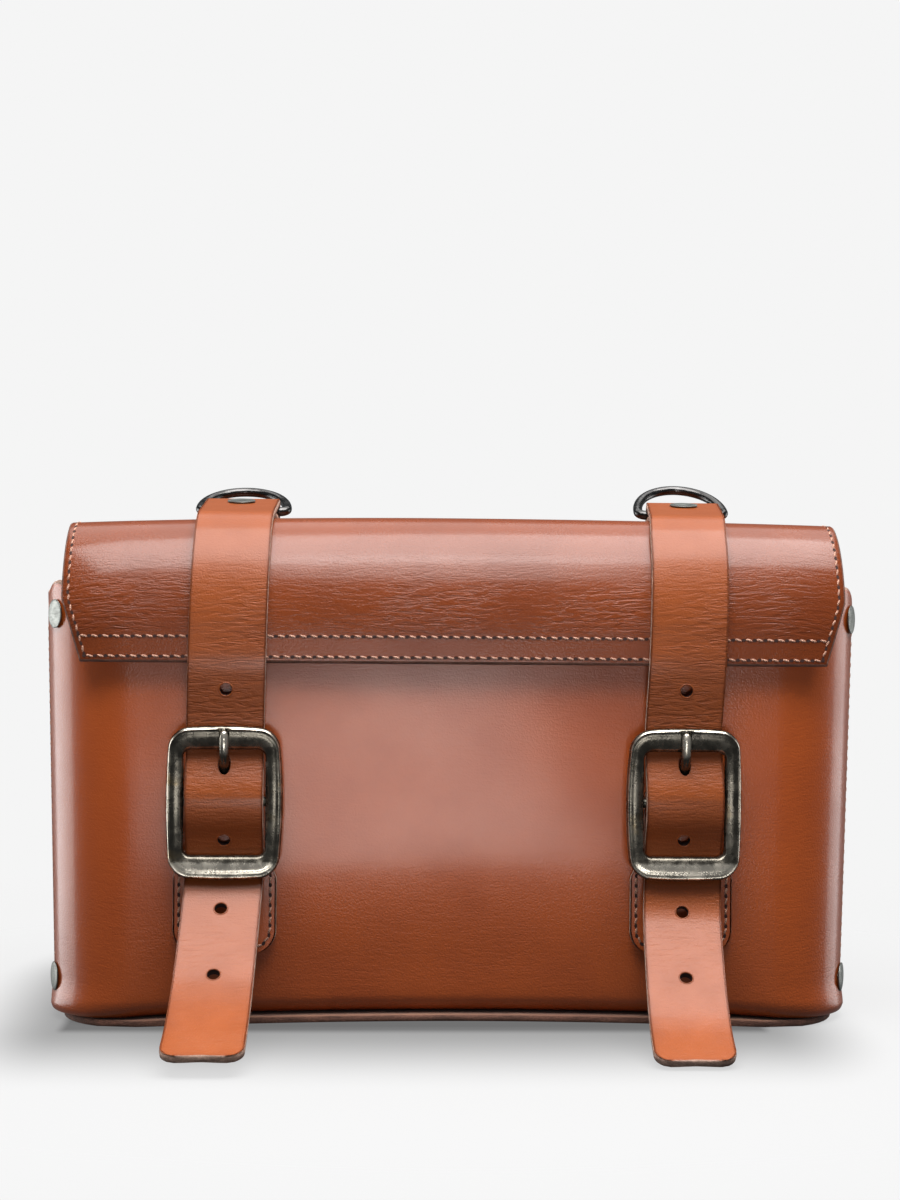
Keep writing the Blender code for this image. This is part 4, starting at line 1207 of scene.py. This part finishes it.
def make_chape(name, side, m):
    """The tab below the buckle, folded round its bar."""
    pad_y = FRONT_Y - GAP - CHAPE / 2
    narrow_low, narrow = BUCKLE_Z - 0.0245, BUCKLE_Z - 0.0145
    controls = [(pad_y, z) for z in np.linspace(CHAPE_BOTTOM, narrow_low, 5)]
    controls += [(pad_y, narrow), (BAR_Y + CHAPE_LOOP, BUCKLE_Z - 0.0045)]
    controls += arc((BAR_Y, BUCKLE_Z), (CHAPE_LOOP, CHAPE_LOOP), 0.0, 180.0, 8)
    controls.append((BAR_Y - CHAPE_LOOP + 0.0006, BUCKLE_Z - 0.0030))
    controls.append((pad_y - CHAPE - 0.0004, BUCKLE_Z - 0.0085))
    path, _ = even_path(smooth_path(controls, 10), 0.0007)
    half = CHAPE_HALF_WIDTH - rounded_end(path[:, 1] - CHAPE_BOTTOM, CHAPE_CORNER)
    half = half + (CHAPE_NECK - CHAPE_HALF_WIDTH) * faded((path[:, 1] - narrow_low) / (narrow - narrow_low))
    grid = strip_grid(STRAP_X[side], path, half)
    skins = [m["front"], m["flesh"], m["cut"]]
    piece = leather_piece(f"chape_skin_{name}", grid, CHAPE, skins, edge=0.35, centred=True)
    cut_away(piece, [prong_slot(STRAP_X[side], m["cut"])], sharp=50.0)
    fit(piece, "bag_body", "body_leather", f"chape_{name}")


def prong_slot(middle, material, half=0.0023):
    """The box that clears the prong's eye out of the chape's fold."""
    front, back = BAR_Y - 0.008, FRONT_Y + 0.001
    corners = ((middle - half, front), (middle + half, front), (middle + half, back), (middle - half, back))
    rings = [[(x, y, BUCKLE_Z + above) for x, y in corners] for above in (-0.0052, 0.006)]
    return tube("slot", rings, material)


# ---------------------------------------------------------------- metal


def frame_outline(half_width, half_height, corner, bulge, arch, steps=8):
    """(x, z) points of a rectangle with round corners, whose long sides bulge and whose ends arch."""
    points = []
    inner = np.linspace(-1.0, 1.0, 14)[1:-1]
    for number, (side_x, side_z) in enumerate(((1, -1), (1, 1), (-1, 1), (-1, -1))):
        centre = side_x * (half_width - corner), side_z * (half_height - corner)
        points += arc(centre, (corner, corner), 90.0 * (number - 1), 90.0 * number, steps)
        if number % 2 == 0:
            points += [(side_x * half_width, side_x * (half_height - corner) * part) for part in inner]
        else:
            points += [(-side_z * (half_width - corner) * part, side_z * half_height) for part in inner]
    bulged = []
    for x, z in points:
        wider = 1 + bulge / half_width * (1 - (z / half_height) ** 2)
        taller = 1 + arch / half_height * (1 - (x / half_width) ** 2)
        bulged.append((x * wider, z * taller))
    return bulged


def buckle_bow(z):
    return BUCKLE_BOW * (1 - (z / BUCKLE_HALF_HEIGHT) ** 2)


def hump(part, middle, width):
    return math.exp(-(((part - middle) / width) ** 2))


def buckle_section(outer, inner, middle, steps=36):
    """One section through the frame, with thin rims raised on its domed front, and how pale each point is made:
    rubbed where it stands proud and along its rims, with a painted highlight that makes the bottom end much
    paler than the top.
    """
    points, wear_and_highlight = [], []
    for x, y in circle(steps):
        part = 0.5 + 0.5 * x
        across, z = (inside + (outside - inside) * part for inside, outside in zip(inner, outer))
        dome = math.copysign(abs(y) ** 0.65, y)
        front = 1.0 if dome > 0 else 0.0
        rim = front * hump(part, 0.90, 0.045)
        inner_rim = front * hump(part, 0.10, 0.05)
        lift = 0.00030 * rim + 0.00012 * inner_rim - 0.00018 * front * hump(part, 0.74, 0.08)
        depth = BUCKLE_Y + buckle_bow(z) - BUCKLE_THICK / 2 * dome - lift
        points.append((middle + across, depth, BUCKLE_Z + z))
        end = min(max((abs(z) - 0.0175) / 0.002, 0.0), 1.0)
        # painted highlight: the bottom end is made far paler than the top, for the light it catches; both ends
        # are also rubbed where they stand proud
        proud = max(dome, 0.0) ** 3 * end * (0.85 if z < 0 else 0.15)
        lined = (0.8 * rim + 0.5 * inner_rim) * (0.4 if z < 0 and end else 1.0)
        wear_and_highlight.append(min(proud + lined, 1.0))
    return points, wear_and_highlight


def make_buckle(name, side, m):
    """A cast frame, rubbed pale where it stands proud and made paler at its bottom end by a painted highlight,
    notched for its prong, and its centre bar.
    """
    middle = STRAP_X[side]
    height = BUCKLE_HALF_HEIGHT - BUCKLE_ARCH
    inner_size = BUCKLE_HALF_WIDTH - BUCKLE_SIDE, BUCKLE_HALF_HEIGHT - BUCKLE_END
    outer = frame_outline(BUCKLE_HALF_WIDTH, height, BUCKLE_CORNER, BUCKLE_BULGE, BUCKLE_ARCH)
    inner = frame_outline(*inner_size, BUCKLE_INNER_CORNER, 0.0, 0.0)
    sections = [buckle_section(*pair, middle) for pair in zip(outer, inner)]
    rings = [points for points, _ in sections]
    buckle = recalculated(tube(f"buckle_skin_{name}", rings, m["brass"], closed=True))
    store(buckle, "wear_and_highlight", np.concatenate([wear_and_highlight for _, wear_and_highlight in sections]))
    place = np.array([middle, prong_rest_y(), BUCKLE_Z + BUCKLE_HALF_HEIGHT - BUCKLE_END / 2 - 0.001])
    across, along = (np.array(axis) * (PRONG_WIRE + GAP) for axis in ((1.0, 0.0, 0.0), (0.0, 1.0, 0.0)))
    notch = round_cutter("notch", place, across, along, np.array([0.0, 0.0, BUCKLE_END * 1.1]), m["brass"])
    cut_away(buckle, [notch], sharp=40.0)
    half = BUCKLE_HALF_WIDTH - BUCKLE_SIDE / 2
    places = [(middle + x, BAR_Y, BUCKLE_Z) for x in np.linspace(-half, half, 9)]
    bar = wire(f"buckle_bar_{name}", places, BAR_RADIUS, m["brass"], sides=20)
    store(bar, "wear_and_highlight", np.zeros(len(bar.data.vertices)))
    fit(buckle, f"buckle_{name}", "antique_brass", f"buckle_{name}")
    fit(bar, f"buckle_{name}", "antique_brass")


def prong_rest_y():
    return BUCKLE_Y + buckle_bow(BUCKLE_HALF_HEIGHT - BUCKLE_END / 2) - BUCKLE_THICK / 2 - 0.0006


def make_prong(name, side, m):
    """A wire that leaves its eye round the bar, comes up through the hole and rests on the top bar."""
    rest = prong_rest_y()
    controls = (
        (BAR_Y - 0.0002, EYE_RADIUS),
        (BAR_Y - 0.0001, 0.0070),
        (BAR_Y - 0.0012, 0.0099),
        (rest + 0.0016, 0.0133),
        (rest, 0.0170),
        (rest, BUCKLE_HALF_HEIGHT - 0.0015),
    )
    middle = STRAP_X[side]
    path, _ = even_path(smooth_path([(y, BUCKLE_Z + above) for y, above in controls], 8), 0.0004)
    count, sides = len(path), 18
    radii = []
    for k in range(count):
        tip = min((count - 1 - k) / 5, 1.0)
        radii.append(PRONG_WIRE * min(1.0, 0.45 + 0.55 * math.sqrt(tip)))
    prong = wire(f"prong_skin_{name}", [(middle, y, z) for y, z in path], radii, m["brass"], sides=sides)
    store(prong, "wear_and_highlight", np.clip(np.repeat(np.arange(count), sides) / count * 2.0 - 0.9, 0.1, 0.85))
    eye_points = [(middle, BAR_Y - EYE_RADIUS * y, BUCKLE_Z + EYE_RADIUS * x) for x, y in circle(40)]
    eye = wire(f"prong_eye_{name}", eye_points, EYE_WIRE, m["brass"], closed=True, sides=12)
    store(eye, "wear_and_highlight", np.zeros(len(eye.data.vertices)))
    fit(prong, f"prong_{name}", "antique_brass", f"prong_{name}")
    fit(eye, f"prong_{name}", "antique_brass")


def ring_outline():
    """(across, along) points of a D: a straight bar, two small bends and a bow."""
    half, bend = RING_HALF_WIDTH, RING_BEND
    corner = arc((half - bend, bend), (bend, bend), -90.0, 0.0, 8)
    bow = arc((0.0, bend), (half, RING_HEIGHT - bend), 0.0, 180.0, 36)[1:-1]
    bar = [((half - bend) * part, 0.0) for part in np.linspace(-0.8, 0.8, 7)]
    return [*corner, *bow, *((-across, along) for across, along in reversed(corner)), *bar]


def make_d_ring(name, side, m):
    """A round-wire D that leans back from its bar in the strap's loop."""
    bar_y, bar_z = ring_bar()
    middle = strap_x(side, bar_y, bar_z)
    back, up = math.cos(RING_LEAN[side]), math.sin(RING_LEAN[side])
    points = [(middle + across, bar_y + along * back, bar_z + along * up) for across, along in ring_outline()]
    ring = wire(f"d_ring_skin_{name}", points, RING_WIRE, m["dark_nickel"], closed=True, sides=24)
    fit(ring, f"d_ring_{name}", "dark_nickel", f"d_ring_{name}")


def make_rivet(name, place, out, body, dome, m):
    """A domed cap with a soft rim over the CAD cap; the post inside is the CAD's own."""
    profile = [(0.001, 0.0), (RIVET_RADIUS * 0.97, 0.0), (RIVET_RADIUS, 0.00015)]
    for turn in np.linspace(math.pi / 2, 0.02, 12):
        profile.append((RIVET_RADIUS * math.sin(turn), RIVET_RIM + (dome - RIVET_RIM) * math.cos(turn)))
    cap = turned(f"{name}_cap_skin", profile, np.array(place) + GAP * np.array(out), out, m["nickel"])
    fit(cap, body, "nickel_rivet", f"{name}_cap")


def make_rivets(m):
    """The side rivets round the front's corners, and one through each strap's loop."""
    for level, z in RIVET_Z.items():
        for name, side in SIDES:
            turn = math.radians(RIVET_TURN[level][side])
            out_x, out_y = math.cos(turn), -math.sin(turn)
            x, y, _ = shell_point((ARC_X, ARC_Y, out_x, out_y), 0.0, z)
            place, out = (side * x, y, z), (side * out_x, out_y, 0.0)
            make_rivet(f"{level}_rivet_{name}", place, out, "bag_body", CAP_DOME["side"], m)
    for name, side in SIDES:
        fold_end, bend = np.array(loop_controls()[12]), np.array(strap_arc(LOOP_ANGLE))
        run = unit(bend - fold_end)
        y, z = fold_end + run * LOOP_RIVET_RUN
        out = np.array([0.0, run[1], -run[0]])
        place = np.array([strap_x(side, y, z), y, z]) + out * (STRAP / 2)
        make_rivet(f"loop_rivet_{name}", place, out, "flap", CAP_DOME["loop"], m)


def dress_posts(m):
    """Give the rivet posts, the only CAD parts that are still shown, a finish."""
    for node in list(bpy.data.objects):
        if node.type == "MESH" and node.name.endswith("_post") and not node.hide_render:
            node.data.materials.clear()
            node.data.materials.append(m["nickel"])
            node.data.shade_smooth()
            node.data.set_sharp_from_angle(angle=math.radians(35.0))


# ---------------------------------------------------------------- seams


def side_line(grid, normals, column, inset):
    """A line on a grid at an inset from its first or last column, as (points, normals)."""
    inner = grid[column + (3 if column >= 0 else -3)]
    return grid[column] + unit(inner - grid[column]) * inset, normals[column]


def row_at(grid, normals, inset):
    """The line across a grid at a distance from its last row, along the leather."""
    line, out = [], []
    for points, outs in zip(grid[:, ::-1], normals[:, ::-1]):
        lengths = lengths_along(points)
        line.append(interpolated(points, lengths, inset))
        out.append(interpolated(outs, lengths, inset))
    return np.array(line), np.array(out)


def kept(line, out, keep):
    return line[keep], out[keep]


def make_seams(m):
    """Stitching along the flap's edges, up the back, along the wings and round the chapes."""
    # the second is the painted shade of the needle holes
    threads = [m["thread"], m["dark"]]
    hide = back_and_flap_grid()
    normals = grid_normals(hide)
    heights = hide[len(hide) // 2, :, 2]
    rows = []
    for inset in EDGE_SEAMS:
        line, out = row_at(hide, normals, inset)
        line, out = kept(line, out, np.abs(line[:, 0]) < np.abs(line[0, 0]) - SIDE_SEAM + 0.001)
        rows.append((line[::-1], out[::-1]))
    fit(stitches("flap_edge_stitches", rows, threads), "flap", "body_leather")

    top_row = int(np.argmax(heights > FLAP_TOP_Z - 0.0008))
    hinge_row = int(np.argmax(heights > 0.140))
    sides, back = [], []
    for column in (0, -1):
        line, out = kept(*side_line(hide, normals, column, SIDE_SEAM), slice(top_row, None))
        sides.append(kept(line, out, line[:, 2] > FLAP_EDGE_Z + 0.0016))
        back.append(kept(*side_line(hide, normals, column, BACK_SEAM), slice(3, hinge_row)))
    fit(stitches("flap_side_stitches", sides, threads), "flap", "body_leather")
    fit(stitches("back_stitches", back, threads), "bag_body", "body_leather")

    front = front_grid()
    normals = grid_normals(front)
    low = int(np.argmax(front[30, :, 2] > 0.012))
    wings = [kept(*side_line(front, normals, column, WING_SEAM), slice(low, -2)) for column in (0, -1)]
    fit(stitches("wing_stitches", wings, threads), "bag_body", "body_leather")
    for name, side in SIDES:
        seam = stitches(f"chape_stitches_{name}", [chape_seam(side)], threads, CHAPE_STITCH_PITCH)
        fit(seam, "bag_body", "body_leather")


def chape_seam(side):
    """Stitching down each side of the chape and round its foot."""
    half, radius = CHAPE_HALF_WIDTH - CHAPE_SEAM, CHAPE_CORNER - CHAPE_SEAM
    points = [(half, z) for z in np.linspace(0.0500, CHAPE_BOTTOM + CHAPE_CORNER, 10)]
    centre = CHAPE_HALF_WIDTH - CHAPE_CORNER, CHAPE_BOTTOM + CHAPE_CORNER
    points += arc(centre, (radius, -radius), 0.0, 90.0, 8)[1:]
    points += [(-x, z) for x, z in reversed(points)]
    line = np.array([(STRAP_X[side] + x, FRONT_Y - GAP - CHAPE, z) for x, z in points])
    return line, np.tile([0.0, -1.0, 0.0], (len(line), 1))


# ---------------------------------------------------------------- the bag


def make_materials():
    front = (0.40, 0.077, 0.013), (0.25, 0.040, 0.006)
    # painted shade: the flap's and back's leather is the front's, made about half as bright to stand in for the
    # weaker light on them
    body = (0.175, 0.036, 0.008), (0.10, 0.0175, 0.0035)
    strap = (0.25, 0.060, 0.0145), (0.145, 0.029, 0.006)
    brass = (0.070, 0.063, 0.051), (0.170, 0.152, 0.122)
    worn_and_lit_brass = (0.68, 0.62, 0.52), (0.34, 0.22, 0.07), (0.02, 0.016, 0.012)
    return {
        "front": leather_material("front_leather", *front, 0.32, 0.42),
        # body_leather is that darker, painted-shade copy of the front's leather
        "body": leather_material("body_leather", *body, 0.27, 0.38, 0.2),
        "strap": leather_material("strap_leather", *strap, 0.36, 0.25, 0.15, 0.2),
        "flesh": suede_material("flesh_side", (0.25, 0.12, 0.07), (0.17, 0.075, 0.045)),
        "lining": suede_material("lining_suede", (0.16, 0.07, 0.04), (0.10, 0.04, 0.025)),
        "cut": cut_edge_material("cut_edge", (0.58, 0.36, 0.27)),
        "dark_cut": cut_edge_material("burnished_edge", (0.20, 0.085, 0.055)),
        "thread": thread_material("thread", (0.30, 0.14, 0.085), (0.56, 0.31, 0.22)),
        "dark": painted_hole_shade_material("painted_hole_shade", (0.012, 0.004, 0.003), (0.05, 0.015, 0.01)),
        "brass": brass_material("antique_brass", *brass, *worn_and_lit_brass),
        "nickel": nickel_material("nickel_rivet", (0.25, 0.26, 0.24), 0.36),
        "dark_nickel": nickel_material("dark_nickel", (0.085, 0.082, 0.08), 0.14),
    }


def build():
    make_camera()
    make_studio()
    m = make_materials()
    make_body(m)
    make_back_and_flap(m)
    for name, side in SIDES:
        for make in (make_strap, make_chape, make_buckle, make_prong, make_d_ring):
            make(name, side, m)
    make_rivets(m)
    dress_posts(m)
    make_seams(m)


build()
